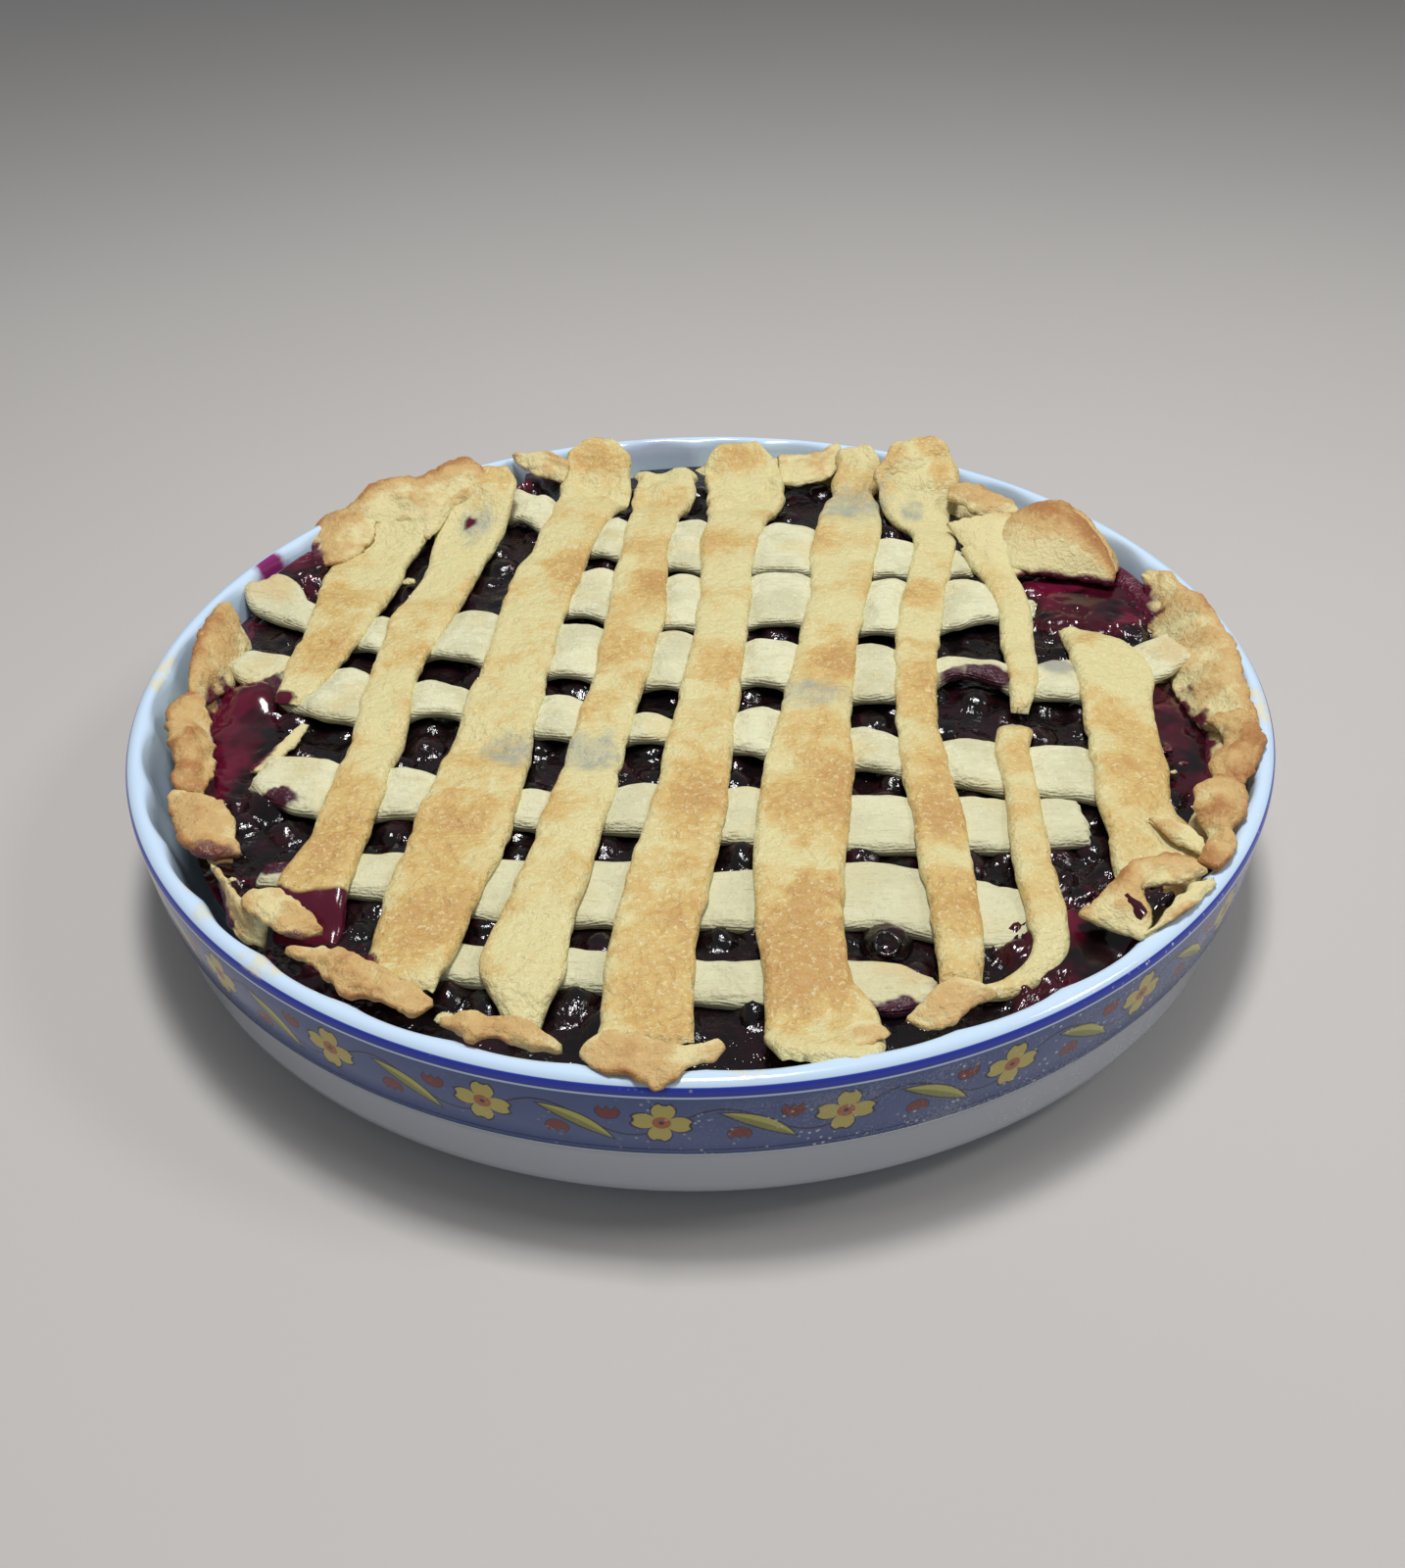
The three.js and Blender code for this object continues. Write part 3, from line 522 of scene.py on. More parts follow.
def puffing(outline):
    """Cross strips swell in the openings between the long strips."""
    swell = -0.5 + 3 * soft_step(-100, -20, outline[:, 1])
    return swell * soft_step(-4.5, 4.5, beyond(long_runs, outline)) * soft_step(-126, -106, outline[:, 0])


SOFT_DOUGH = {"Subsurface Weight": 0.12, "Subsurface Scale": 0.003}
PASTE = colour(228, 225, 188)
# PASTE_SHADE is the paste as it looks in shade. It darkens patches at random and also lays painted shade on
# the strips.
PASTE_SHADE = colour(210, 206, 168)
PASTE_GOLD = colour(218, 198, 136)
pale_pastry, place, (_, y, z) = new_finish("pale_pastry")
edge, juiced, bruised, tanned = map(place.mask, ("edge", "juiced", "bruised", "tanned"))
clouds = place.mottle(13, 4, 0.55)
layers = ((z + place.mottle(9, 2) * 2.2) * 8.5).apply("SINE") * edge
flour = place.mottle(1.3, 3)
drawn = place.node("ShaderNodeVectorMath", {"operation": "MULTIPLY"}, {0: place, 1: (0.16, 1, 1)})
fibres = drawn.mottle(1.5, 4, 0.6)
paste = clouds.between(0.4, 0.66).lay(PASTE, PASTE_SHADE)
paste = (place.mottle(22, 3).between(0.52, 0.7) * 0.55).lay(paste, PASTE_GOLD)
# Painted shade on the sides and underside of the cross strips.
paste = (edge.between(0.45, 1) * 0.35).lay(paste, PASTE_SHADE)
# Painted shade: the grooves of the drawn fibres are laid darker.
paste = (fibres.between(0.5, 0.36) * 0.28).lay(paste, colour(196, 190, 146))
paste = (flour.between(0.58, 0.7) * 0.5).lay(paste, colour(242, 240, 212))
# Painted shade: the cross strips are laid darker towards the front.
paste = (y.between(-30, -80) * 0.5).lay(paste, PASTE_SHADE)
paste = (tanned * 0.6).lay(paste, colour(214, 184, 124))
paste = bruised.lay(paste, colour(170, 168, 150))
paste = juiced.between(0.15, 0.7).lay(paste, colour(68, 18, 38))
coat(pale_pastry, {
    "Base Color": paste,
    "Roughness": 0.62 - juiced * 0.4 + flour * 0.12,
    "Normal": (layers * 0.12 + flour * 0.6 + fibres * 0.9 + place.mottle(4, 4) * 1.1).relief(0.9, 1.0),
    **SOFT_DOUGH,
})
JUICED_CROSS = [
    (-118, -1, 7, 7), (-104, -53, 7, 4), (-98, -76, 9, 4), (40, -126, 12, 4), (77, -6, 13, 5.6),
]
TANNED_CROSS = [(-129, 51, 10, 9), (44, -114, 9, 5), (131, 3, 6, 8)]
BRUISED_CROSS = [(98, -2, 6, 5)]
for number, (name, strip) in enumerate(CROSS_STRIPS.items()):
    shape, points, lie = strip_shape(strip, CROSS_BED, CROSS_THICKNESS, puffing, 1.5, 20 + number * 7)
    mould(
        shape, points, edge=lie["edge"], juiced=spots(points, JUICED_CROSS),
        bruised=spots(points, BRUISED_CROSS), tanned=spots(points, TANNED_CROSS),
    )
    settle(shape, "pale_" + name, pale_pastry, "pale_pastry", name)


# The long strips are broader ribbons of the same dough, laid from back to front over the cross strips.
# They sag a little between them, and their tops have browned in patches and blistered.
def sagging(outline):
    """Long strips sink where no cross strip carries them."""
    return -np.clip((beyond(cross_runs, outline) - 2.4) * 0.24, 0, 2.0)


PRESSED = 0.7
GOLD_PALE = colour(224, 212, 155)
GOLD = colour(217, 185, 115)
GOLD_BROWN = colour(203, 162, 97)
golden_pastry, place, _ = new_finish("golden_pastry")
baked, edge, juiced, bruised = map(place.mask, ("baked", "edge", "juiced", "bruised"))
clouds = place.mottle(17, 4, 0.6)
speckle = place.mottle(1.1, 3, 0.6)
freckle = place.mottle(3.2, 3, 0.65)
blisters = place.cells(2.3)
bake = baked + (clouds - 0.5) * 1.4 + (freckle - 0.5) * 0.7
crust = bake.between(0.0, 0.62).lay(GOLD_PALE, GOLD)
crust = bake.between(0.6, 1.2).lay(crust, GOLD_BROWN)
crust = (blisters.between(0.42, 0.68) * bake.between(0.3, 0.8) * 0.4).lay(crust, colour(194, 145, 82))
# Pale specks: small blisters in the crust, and partly painted glints of its sheen.
crust = (speckle.between(0.56, 0.66) * 0.5).lay(crust, colour(242, 232, 184))
crust = (edge.between(0.5, 1) * 0.5).lay(crust, colour(226, 208, 148))
crust = (bruised * (0.45 + place.mottle(4, 3).between(0.35, 0.65) * 0.5)).lay(crust, colour(170, 172, 152))
crust = juiced.between(0.15, 0.7).lay(crust, colour(86, 18, 40))
dry = 1 - juiced.between(0.1, 0.5) * 0.9
coat(golden_pastry, {
    "Base Color": crust,
    "Roughness": 0.12 + dry * (0.2 + speckle * 0.26),
    "Normal": ((speckle * 0.8 - blisters * 0.5 + freckle + place.mottle(8, 3)) * dry).relief(0.9, 0.9),
    **SOFT_DOUGH,
})
JUICED_LONG = [(-113, -10, 4, 3), (-72, -114, 3.4, 7), (-98, -62, 3, 5), (-73, 88, 1.7, 2.2)]
BRUISED_LONG = [
    (-48, -36, 8, 8), (-28, -37, 9, 9), (30, -13, 10, 7), (52, 100, 14, 12), (-71, 86, 6, 9),
    (82, -25, 8, 7), (71, 93, 4, 6),
]
BROWN_PEAKS = [
    (-100, 104, 18, 7), (-76, 112, 14, 7), (-64, 107, 8, 8), (-34, 128, 9, 8), (16, 128, 9, 9),
    (66, 114, 6, 5), (78, 116, 6, 5), (80, 105, 4, 6), (22, -108, 12, 24),
]
BROWN_PATCHES = [
    (-41, 60, 8, 13), (-12, 50, 8, 13), (-21, 12, 9, 15), (4, 4, 9, 20), (-3, -62, 11, 32),
    (-10, -112, 12, 28), (38, 3, 8, 12), (26, -56, 15, 26), (22, -114, 15, 30), (-83, 14, 9, 18),
    (-86, -64, 9, 22), (-103, 44, 14, 12), (-108, 14, 9, 14), (-62, -66, 12, 20), (-63, -104, 11, 18),
    (67, 35, 7, 13), (59, -14, 7, 15), (57, -62, 7, 18), (55, -96, 7, 14), (79, -44, 6, 10),
    (108, -44, 12, 28),
]
PALE_ENDS = [
    (-8, 132, 16, 20), (75, 92, 12, 24), (-34, -92, 12, 36), (17, 112, 14, 16), (-76, 76, 14, 26),
    (-100, 84, 16, 14), (113, -4, 10, 16), (-52, 22, 12, 22), (10, 44, 9, 16), (40, 30, 9, 12),
    (-27, -38, 9, 14),
]
for number, (name, strip) in enumerate(LONG_STRIPS.items()):
    bed = LONG_BED - PRESSED
    shape, points, lie = strip_shape(strip, bed, LONG_THICKNESS, sagging, 0.3, 90 + number * 7)
    riding = soft_step(2, -5, beyond(cross_runs, points[:, :2] + [0, 3]))
    bakes = 0.15 + 0.4 * ripple(points, 20, 5 + number) + 0.16 * soft_step(10, -90, points[:, 1])
    bakes = bakes + riding * (0.1 + 0.25 * ripple(points, 30, 60 + number)) + 0.2 * lie["lumps"]
    bakes = bakes + 0.5 * spots(points, BROWN_PEAKS) + 0.46 * spots(points, BROWN_PATCHES)
    bakes = bakes - 0.4 * spots(points, PALE_ENDS)
    juicy = spots(points, JUICED_LONG)
    if name == "long_strip_2":
        juicy = np.maximum(juicy, soft_step(-86.6, -88.4, points[:, 1] + 1.6 * ripple(points, 5, 8)))
    mould(shape, points, edge=lie["edge"], baked=bakes, juiced=juicy, bruised=spots(points, BRUISED_LONG))
    settle(shape, "golden_" + name, golden_pastry, "golden_pastry", name)


# The pastry case lines the dish. Its edge is torn and uneven, and the spare dough was folded in over
# the ends of the strips, so it has baked into thin flaky flaps with browned crests.
WALL_STEPS = (420, 24)
SHEET_ROUND, SHEET_STEP = 1.0, 0.8
# The height of the lining's edge and how far it has shrunk from the dish, each by degrees round it.
CASE_EDGE = [
    (0, 42), (30, 42), (40, 38), (52, 42), (62, 43), (70, 42), (84, 42), (92, 34.4), (100, 34.4),
    (102, 43), (105, 43), (107, 34.4), (118, 34.4), (124, 46), (138, 45), (146, 34.4), (176, 34.4),
    (182, 42), (204, 42), (212, 38), (220, 34.4), (315, 34.4), (320, 42), (360, 42),
]
CASE_SHRINK = [
    (0, 0), (20, 1), (42, 3), (60, 0), (150, 0), (176, 1), (196, 5), (212, 5), (226, 1), (240, 0),
    (360, 0),
]
# The two edges of each flap give x, y and z. What isn't given is set where the flap is made.
CRUST_SHEETS = {
    "left_shoulder": dict(
        outer=[(-138, 36, 45.6), (-140, 27, 46.4), (-140, 15, 46.4), (-138, 0, 46.4), (-136, -13, 45.8)],
        inner=[(-137, 36, 45), (-134, 31, 41), (-131, 27, 37), (-129, 19, 36), (-130, 8, 36),
            (-133, -10, 41)],
        bulge=3, lean=-0.7, brown=0.05, crest=0.4, rough=0.6),
    "left_ridge": dict(
        outer=[(-138, -12, 45.4), (-139, -20, 45.6), (-136, -30, 45.6), (-132, -39, 45.6), (-127, -54, 45)],
        inner=[(-133, -12, 46), (-129, -20, 43.6), (-125, -30, 42.6), (-123, -37, 42.6), (-121, -54, 43)],
        bulge=2.6, lean=-0.4, brown=0.4),
    "left_lobe": dict(
        outer=[(-129, -54, 44.6), (-126, -63, 44.8), (-122, -71, 45), (-118, -76, 45), (-112, -80, 44.6)],
        inner=[(-125, -54, 45), (-117, -58, 45), (-112, -63, 45), (-109, -69, 44.6), (-107, -77, 43.6)],
        bulge=1.6, brown=0.25),
    "standing_edge": dict(
        outer=[(-110, -82, 38.5), (-107, -89, 38), (-104, -96, 38), (-99, -101, 38.5), (-96, -102, 39)],
        inner=[(-112, -80, 44.6), (-107, -87, 46), (-102, -93, 46), (-99, -97, 45), (-95, -101, 44)],
        bulge=0.3, thick=1.4),
    "leaf": dict(
        outer=[(-102, -94, 45.4), (-98, -100, 45.8), (-94, -103, 46), (-89, -106, 46), (-85, -106, 45.4),
            (-82, -104, 44)],
        inner=[(-101, -93, 46), (-97, -92, 46.4), (-93, -93, 46.6), (-89, -96, 46.6), (-86, -99, 46),
            (-82, -103, 44)],
        bulge=1.1, thick=1.8),
    "front_left_flap": dict(
        outer=[(-88, -112, 46.2), (-82, -115.5, 46.4), (-77, -121, 46.6), (-72, -125.5, 46.8),
            (-66, -127, 46.8), (-62, -129, 46.6), (-58, -130, 46), (-55, -127, 45)],
        inner=[(-88, -111, 46), (-82, -110, 46.6), (-77, -112, 47), (-71, -115, 47.4), (-66, -119, 47.6),
            (-61, -122, 47.2), (-55, -126, 45)],
        bulge=0.8, thick=2, lean=0.6, brown=0.2),
    "crumpled_flap": dict(
        outer=[(-53, -132, 45.4), (-48, -136, 46.4), (-46, -138.5, 46.8), (-43, -137, 46.6),
            (-38, -138, 46.2), (-33, -140, 46), (-28, -139, 44.4)],
        inner=[(-53, -131, 45.2), (-50, -129.5, 46), (-47, -129.5, 47.2), (-43, -132, 47.2),
            (-38, -133, 46.8), (-33, -134.5, 46), (-28, -138, 44.2)],
        bulge=0.9, brown=0.3),
    "front_flap": dict(
        outer=[(-24.6, -141.6, 46.2), (-22.8, -144.2, 46.6), (-18.7, -146.2, 46.7), (-14.5, -147.4, 46.7),
            (-11.5, -148.6, 46.3), (-9.6, -149.6, 45.4), (-7.6, -148.8, 46.1), (-5.4, -147.4, 46.5),
            (-2.3, -144.8, 46.5), (2.3, -142.6, 45.8), (3.8, -140, 45.4)],
        inner=[(-24.6, -141.2, 46.2), (-22.8, -138.5, 46.8), (-19.4, -136.9, 47.3), (-13.4, -138.1, 47.5),
            (-7.8, -140.5, 47.2), (-3.6, -140.3, 46.6), (2, -137.8, 46), (3.8, -139.6, 45.4)],
        bulge=0.6, thick=1.5, brown=0.15, rough=0.45),
    "strip_foot": dict(
        outer=[(22, -142.4, 44), (26, -141.6, 44.4), (31, -139.6, 44.8), (36.4, -136.2, 44.8)],
        inner=[(22, -136, 43.4), (26, -134, 43.4), (31, -131, 43.4), (36, -134.4, 44.2)],
        bulge=0.2, thick=1.0, brown=-0.1, rough=0.4),
    "thumb": dict(
        outer=[(40, -132.6, 43.8), (44, -135, 44.4), (48, -135, 44.8), (51, -132.5, 45), (55, -129.5, 45),
            (59, -127, 44.6)],
        inner=[(40, -132, 43.8), (44, -129, 45.4), (46, -126, 46.4), (49, -124, 47), (53, -124, 47),
            (56, -125, 46.2), (59, -127, 44.6)],
        bulge=0.7, thick=1.6, brown=0.1, rough=0.45),
    "hook": dict(
        outer=[(81, -102, 43.4), (85, -100, 45), (88, -97, 46.2), (91, -94, 47.2), (94, -91, 47.6),
            (98, -89, 47.8), (102, -88, 47.8), (106, -89, 47.6), (111, -93, 46.6)],
        inner=[(81, -102.6, 43.4), (84, -107, 44.4), (88, -109.6, 45.4), (91, -112, 46.2),
            (94.4, -109, 46.4), (93.4, -104, 46.6), (95, -99, 46.8), (99.5, -97.5, 47), (104, -96.5, 47),
            (111, -93.4, 46.6)],
        bulge=1, thick=1.8, brown=-0.05, crest=0.4),
    "rim_tab": dict(
        outer=[(91, -113, 46.2), (96, -110, 46.5), (101, -106.6, 46.6), (106, -103, 46.6),
            (112, -97, 46.6)],
        inner=[(92, -112, 46.2), (98.4, -106.6, 46.6), (102, -101.4, 46.8), (106, -97.4, 46.8),
            (112, -94.6, 46.6)],
        bulge=0.4, thick=1.6, brown=-0.4),
    "side_leaf": dict(
        outer=[(105, -70, 43.4), (107, -75, 43.4), (110, -80, 43.6), (114, -85, 44.2)],
        inner=[(105, -70, 43.6), (110, -72, 44.2), (114, -77, 44.8), (115, -84, 44.8)],
        bulge=0.4, thick=1.2, brown=-0.35),
    "right_shell": dict(
        outer=[(125, -59, 45.6), (128, -65, 46.6), (126, -73, 46.8), (121, -79, 46.6), (119, -86, 46.6),
            (113, -93, 46.4)],
        inner=[(124, -59, 45.2), (118, -63, 45.2), (116, -68, 45.2), (116, -76, 45), (115, -83, 45),
            (110, -90, 45.8)],
        bulge=2.2, brown=0.25),
    "right_knob": dict(
        outer=[(139, -30, 46), (140.5, -38, 46.6), (139, -45, 46.8), (136, -51, 46.6), (133, -57, 46.4),
            (129, -62, 45.8)],
        inner=[(131, -29, 42.6), (132, -37, 42.8), (130, -44, 43.6), (125, -52, 44.6), (124, -58, 45),
            (128, -62, 45.6)],
        bulge=2.4, brown=0.35),
    "right_wave": dict(
        outer=[(136, 46, 44.6), (140, 40, 46.2), (142, 32, 46.8), (144, 25, 47), (145, 16, 47.2),
            (145.5, 4, 47.2), (146, -5, 47.2), (144, -16, 47), (142, -28, 46.6), (140, -38, 46.2)],
        inner=[(134, 46, 43), (133, 40, 40), (134, 34, 37), (132, 26, 36), (132, 15, 36), (129, -2, 36.4),
            (129, -10, 36.4), (130, -20, 37), (131, -32, 41)],
        bulge=2.4, lean=-0.5, brown=-0.1, crest=0.25),
    "blister": dict(
        outer=[(94, 72, 44), (101, 77, 48), (107, 78, 50.4), (112, 76.5, 51.4), (117, 71, 50.6),
            (121, 63, 48.6), (124, 53, 45.6), (125, 44, 42.4)],
        inner=[(93, 57, 42), (100, 51, 42), (108, 48, 41.6), (117, 46, 41.4), (125, 43, 41.4)],
        bulge=6, lean=-0.35, thick=2.6, brown=-0.2, crest=0.75, browned_to=0.45, pale_start=0.4, rough=0.35,
        dome=1.6),
    "blister_back": dict(
        outer=[(97, 78, 43), (104, 83, 43), (113, 82, 43), (121, 74, 43), (126, 63, 43), (128, 50, 42)],
        inner=[(96, 68, 46), (103, 74, 49), (112, 76, 51.8), (118, 70, 51), (123, 58, 48), (125, 46, 43)],
        bulge=2.4, brown=0.35),
    "pale_bridge": dict(
        outer=[(80, 79, 44), (86, 80, 45.2), (92, 80.6, 46.2), (98, 80.6, 46.8), (104, 78, 46.6)],
        inner=[(83, 70, 42.8), (87, 60, 42.2), (91, 54, 41.8), (97, 51, 41), (103, 51, 40.4)],
        bulge=1.8, thick=2, brown=-0.5, rough=0.5),
    "back_rope": dict(
        outer=[(84, 100, 48), (90, 97, 48.6), (94, 94, 48), (99, 92, 47), (104, 86, 45)],
        inner=[(82, 94, 46), (87, 89, 45), (91, 84, 44.6), (97, 83, 44.6), (103, 84, 44.6)],
        bulge=2, brown=0.05),
    "back_flap": dict(
        outer=[(29, 133.6, 44), (36, 134.6, 44.2), (44, 134, 44.6), (50, 138.4, 46), (52, 136, 45)],
        inner=[(29, 118, 41.8), (37, 116, 41.8), (44, 117.6, 42), (49, 123.4, 43.4), (52, 131, 44.6)],
        bulge=1.4, thick=1.7, brown=-0.2),
    "back_left_tab": dict(
        outer=[(-63, 131, 48), (-58, 130.6, 48.6), (-51, 129.6, 48.6), (-42, 125, 47.6)],
        inner=[(-62, 128, 46.6), (-58, 125, 45), (-53, 122, 44), (-44, 118, 43.4)],
        bulge=1.2, thick=1.7, brown=-0.05),
    "back_left_crest": dict(
        outer=[(-115, 92, 46.6), (-109, 99, 50), (-105, 102, 51.6), (-95, 105, 53), (-90, 105, 52.8),
            (-86, 107, 53.4), (-82, 110.6, 54.6), (-77, 113, 55), (-73, 112.6, 54.6), (-70, 109, 52),
            (-66, 109, 50), (-60, 107, 47)],
        inner=[(-114, 84, 43), (-108, 87, 44.4), (-100, 88, 44.8), (-93, 87, 44.6), (-89, 83, 43.4),
            (-85, 81, 43), (-82, 86, 43.8), (-78, 95, 46.2), (-74, 97, 46.6), (-68, 97, 45.8),
            (-62, 98, 44)],
        bulge=1.5, thick=1.6, brown=-0.15, crest=0.45),
    "rough_side": dict(
        outer=[(-119, 95, 45), (-123, 84, 43), (-122, 75, 41.5), (-117, 66, 41)],
        inner=[(-104, 96, 48.4), (-103, 86, 45), (-104, 77, 42.6), (-109, 68, 41.4)],
        bulge=2, thick=1.8, brown=0.25),
    "pool_ridge": dict(
        outer=[(-105.8, -17, 39.4), (-108.6, -24, 39), (-111.8, -31, 39), (-114.6, -39, 39.6)],
        inner=[(-103.8, -17.6, 39.4), (-105, -24, 38.8), (-107.2, -31, 38.8), (-108.6, -40, 39.6)],
        bulge=0.5, thick=1.5, brown=-0.7, rough=0.3),
}
POOLS = [
    (-122, -20, 15, 38), (-126, 66, 13, 22), (116, 42, 26, 24), (124, -34, 9, 34), (82, -110, 22, 24),
    (-112, -88, 10, 16), (-87, -113, 20, 13), (-61, 127, 14, 9),
]
POOL_LIFTS = [1.4, 6, 3, 1.4, 4, 2, 2.4, 4.4]
BRIGHT_POOLS = [
    (-60, 129, 12, 9), (104, 62, 14, 10), (-126, 70, 8, 10), (-127, -6, 10, 20), (-124, -34, 8, 18),
    (-134, 36, 4, 7),
]
SOAKED = [(-112, -78, 8, 4), (-89, -107, 9, 2.6)]


def case_wall():
    """The torn edge of the lining, from a little below the juice up over its crest and in again."""
    shape, round_it, over = new_grid(*WALL_STEPS)
    degrees = round_it * 360
    turn = np.radians(degrees)
    facing = np.stack([np.cos(turn), np.sin(turn)], 1)
    ragged = 0.9 * ripple(facing * 140, 11, 2) + 0.4 * ripple(facing * 140, 4, 3)
    edge = np.interp(degrees, *np.array(CASE_EDGE).T) + ragged
    gap = 0.8 + np.interp(degrees, *np.array(CASE_SHRINK).T)
    wall = np.interp(edge, [8, 22, 44.6], [133, 140, 143.6]) - gap
    stops = np.array([0, 0.3, 0.5, 0.66, 1])
    reach = [wall - 2, wall, wall - 1.6, wall - 5, wall - 12]
    rise = [np.full_like(edge, 30), edge - 1.4, edge, edge - 1, np.full_like(edge, 33)]
    low = np.clip(np.searchsorted(stops, over) - 1, 0, 3)
    share = (over - stops[low]) / (stops[low + 1] - stops[low])
    share = 0.5 * share + 0.5 * soft_step(0, 1, share)
    pick = np.arange(len(over))
    radius = np.array(reach)[low, pick] * (1 - share) + np.array(reach)[low + 1, pick] * share
    height = np.array(rise)[low, pick] * (1 - share) + np.array(rise)[low + 1, pick] * share
    points = np.column_stack([facing * radius[:, None], height])
    points[:, 2] += 0.5 * ripple(points, 6, 6) * soft_step(0.3, 0.6, over)
    bakes = 0.4 + 0.3 * ripple(points, 16, 7)
    return shape, points, bakes


def along_edge(edge, share):
    """Points at a share of the way along an edge that is given by a few points."""
    edge = np.array(edge, float)
    places = places_along(edge)
    return np.stack([through(places / places[-1], edge[:, axis], share) for axis in range(3)], 1)


def crust_sheet(sheet, seed):
    """One sheet of spare dough between its outer and its inner edge: bulged, flaky and torn at its rim."""
    length = places_along(sheet["inner"])[-1]
    shape, lengthwise, upper, share = new_ribbon(max(16, round(length / SHEET_STEP)))
    breadth = along_edge(sheet["outer"], lengthwise) - along_edge(sheet["inner"], lengthwise)
    half = np.linalg.norm(breadth, axis=1) / 2
    rim = np.stack([lengthwise * length, np.sign(share) * 30], 1)
    torn = 0.8 * ripple(rim, 6, seed) + 0.6 * ripple(rim, 2.4, seed + 1)
    torn = torn + 0.25 * ripple(rim, 1.1, seed + 2)
    reach = 1 + torn / np.maximum(half, 1.5) * np.minimum(1, half / 3)

    def middle(lengthwise, share):
        lengthwise = np.clip(lengthwise, 0, 1)
        spread = share * reach
        outer, inner = along_edge(sheet["outer"], lengthwise), along_edge(sheet["inner"], lengthwise)
        points = outer * ((1 - spread) / 2)[:, None] + inner * ((1 + spread) / 2)[:, None]
        fade = 1 - np.abs(2 * lengthwise - 1) ** sheet.get("dome", 3)
        points[:, 2] += sheet["bulge"] * (1 - share * share) * (1 + sheet.get("lean", 0) * share) * fade
        return points

    points = middle(lengthwise, share)
    run = middle(lengthwise + 0.01, share) - middle(lengthwise - 0.01, share)
    across = middle(lengthwise, share + 0.02) - middle(lengthwise, share - 0.02)
    facing = np.cross(run, across)
    facing *= (np.sign(facing[:, 2]) / np.maximum(np.linalg.norm(facing, axis=1), 1e-9))[:, None]
    from_rim = np.minimum((1 - np.abs(share)) * half, np.minimum(lengthwise, 1 - lengthwise) * length)
    rounding = rounded(from_rim, SHEET_ROUND)
    swell = (0.8 * ripple(points, 9, seed + 3) + 0.5 * ripple(points, 4, seed + 4)) * sheet.get("rough", 1)
    grain = np.stack([lengthwise * length * 0.22, share * half, upper * 9.0], 1)
    flaky = 0.7 * np.abs(ripple(grain, 1.9, seed + 5)) + 0.3 * np.abs(ripple(points, 2.8, seed + 6)) - 0.3
    flaky = flaky * min(1, sheet.get("rough", 1))
    thick = np.where(upper, 0.5, -0.5) * sheet.get("thick", 2.6)
    lift = swell + (thick + flaky * upper) * rounding
    points = points + facing * lift[:, None]
    bakes = 0.45 + sheet.get("brown", 0) + 0.3 * ripple(points, 12, seed + 7)
    bakes = bakes + 0.25 * swell + 0.35 * flaky
    bakes = bakes + 0.3 * soft_step(-0.6, -1, share) - 0.2 * soft_step(0, 1, share)
    browned_to = sheet.get("browned_to", -0.1)
    browned = soft_step(browned_to, browned_to - 0.8, share)
    browned = browned * soft_step(0, sheet.get("pale_start", 0.001), lengthwise)
    bakes = bakes + sheet.get("crest", 0) * browned
    return shape, points, bakes


def crumb(at_x, at_y, at_z, size, seed):
    """A loose flake of crust."""
    shape = bmesh.new()
    bmesh.ops.create_icosphere(shape, subdivisions=2, radius=1)
    unit = np.array([vert.co for vert in shape.verts])
    points = unit * (1 + 0.5 * ripple(unit, 0.8, seed)[:, None]) * [size, size * 0.7, size * 0.4]
    return shape, points + [at_x, at_y, at_z], np.full(len(points), 0.1)


CRUMBS = [
    (119, -38, 40, 1.6), (121, -44, 40, 1.3), (118, -47, 39.6, 0.9), (-88, 55, 41.4, 2),
    (-53, -127, 42, 2), (-125, -58, 46.6, 1), (60, -132, 42, 1.1), (-105, -88, 46.6, 0.9),
]
case_shape = bmesh.new()
for name in ("baked", "juiced"):
    case_shape.verts.layers.float.new(name)
flaps = [crust_sheet(sheet, 200 + 9 * number) for number, sheet in enumerate(CRUST_SHEETS.values())]
crumbs = [crumb(*lying, 500 + number) for number, lying in enumerate(CRUMBS)]
for shape, points, bakes in [case_wall(), *flaps, *crumbs]:
    wet = spots(points, POOLS) * soft_step(45.5, 41, points[:, 2] + 0.8 * ripple(points, 6, 9))
    wet = np.maximum(wet, 0.5 * spots(points, SOAKED))
    mould(shape, points, baked=bakes, juiced=wet)
    bmesh.ops.recalc_face_normals(shape, faces=shape.faces[:])
    part = bpy.data.meshes.new("flap")
    shape.to_mesh(part)
    shape.free()
    case_shape.from_mesh(part)
    bpy.data.meshes.remove(part)

CRUST_PALE = colour(228, 214, 159)
CRUST_GOLD = colour(211, 175, 114)
CRUST_BROWN = colour(177, 122, 68)
flaky_crust, place, _ = new_finish("flaky_crust")
baked, juiced = map(place.mask, ("baked", "juiced"))
clouds = place.mottle(10, 4, 0.6)
flakes = place.mottle(2.6, 4, 0.65)
speckle = place.mottle(1.2, 3, 0.6)
bake = baked + (clouds - 0.5) * 1.3 + (flakes - 0.5) * 0.5
crust = bake.between(0.15, 0.6).lay(CRUST_PALE, CRUST_GOLD)
crust = bake.between(0.62, 1.15).lay(crust, CRUST_BROWN)
crust = (speckle.between(0.58, 0.7) * 0.35).lay(crust, colour(240, 220, 164))
crust = juiced.between(0.15, 0.65).lay(crust, colour(92, 20, 46))
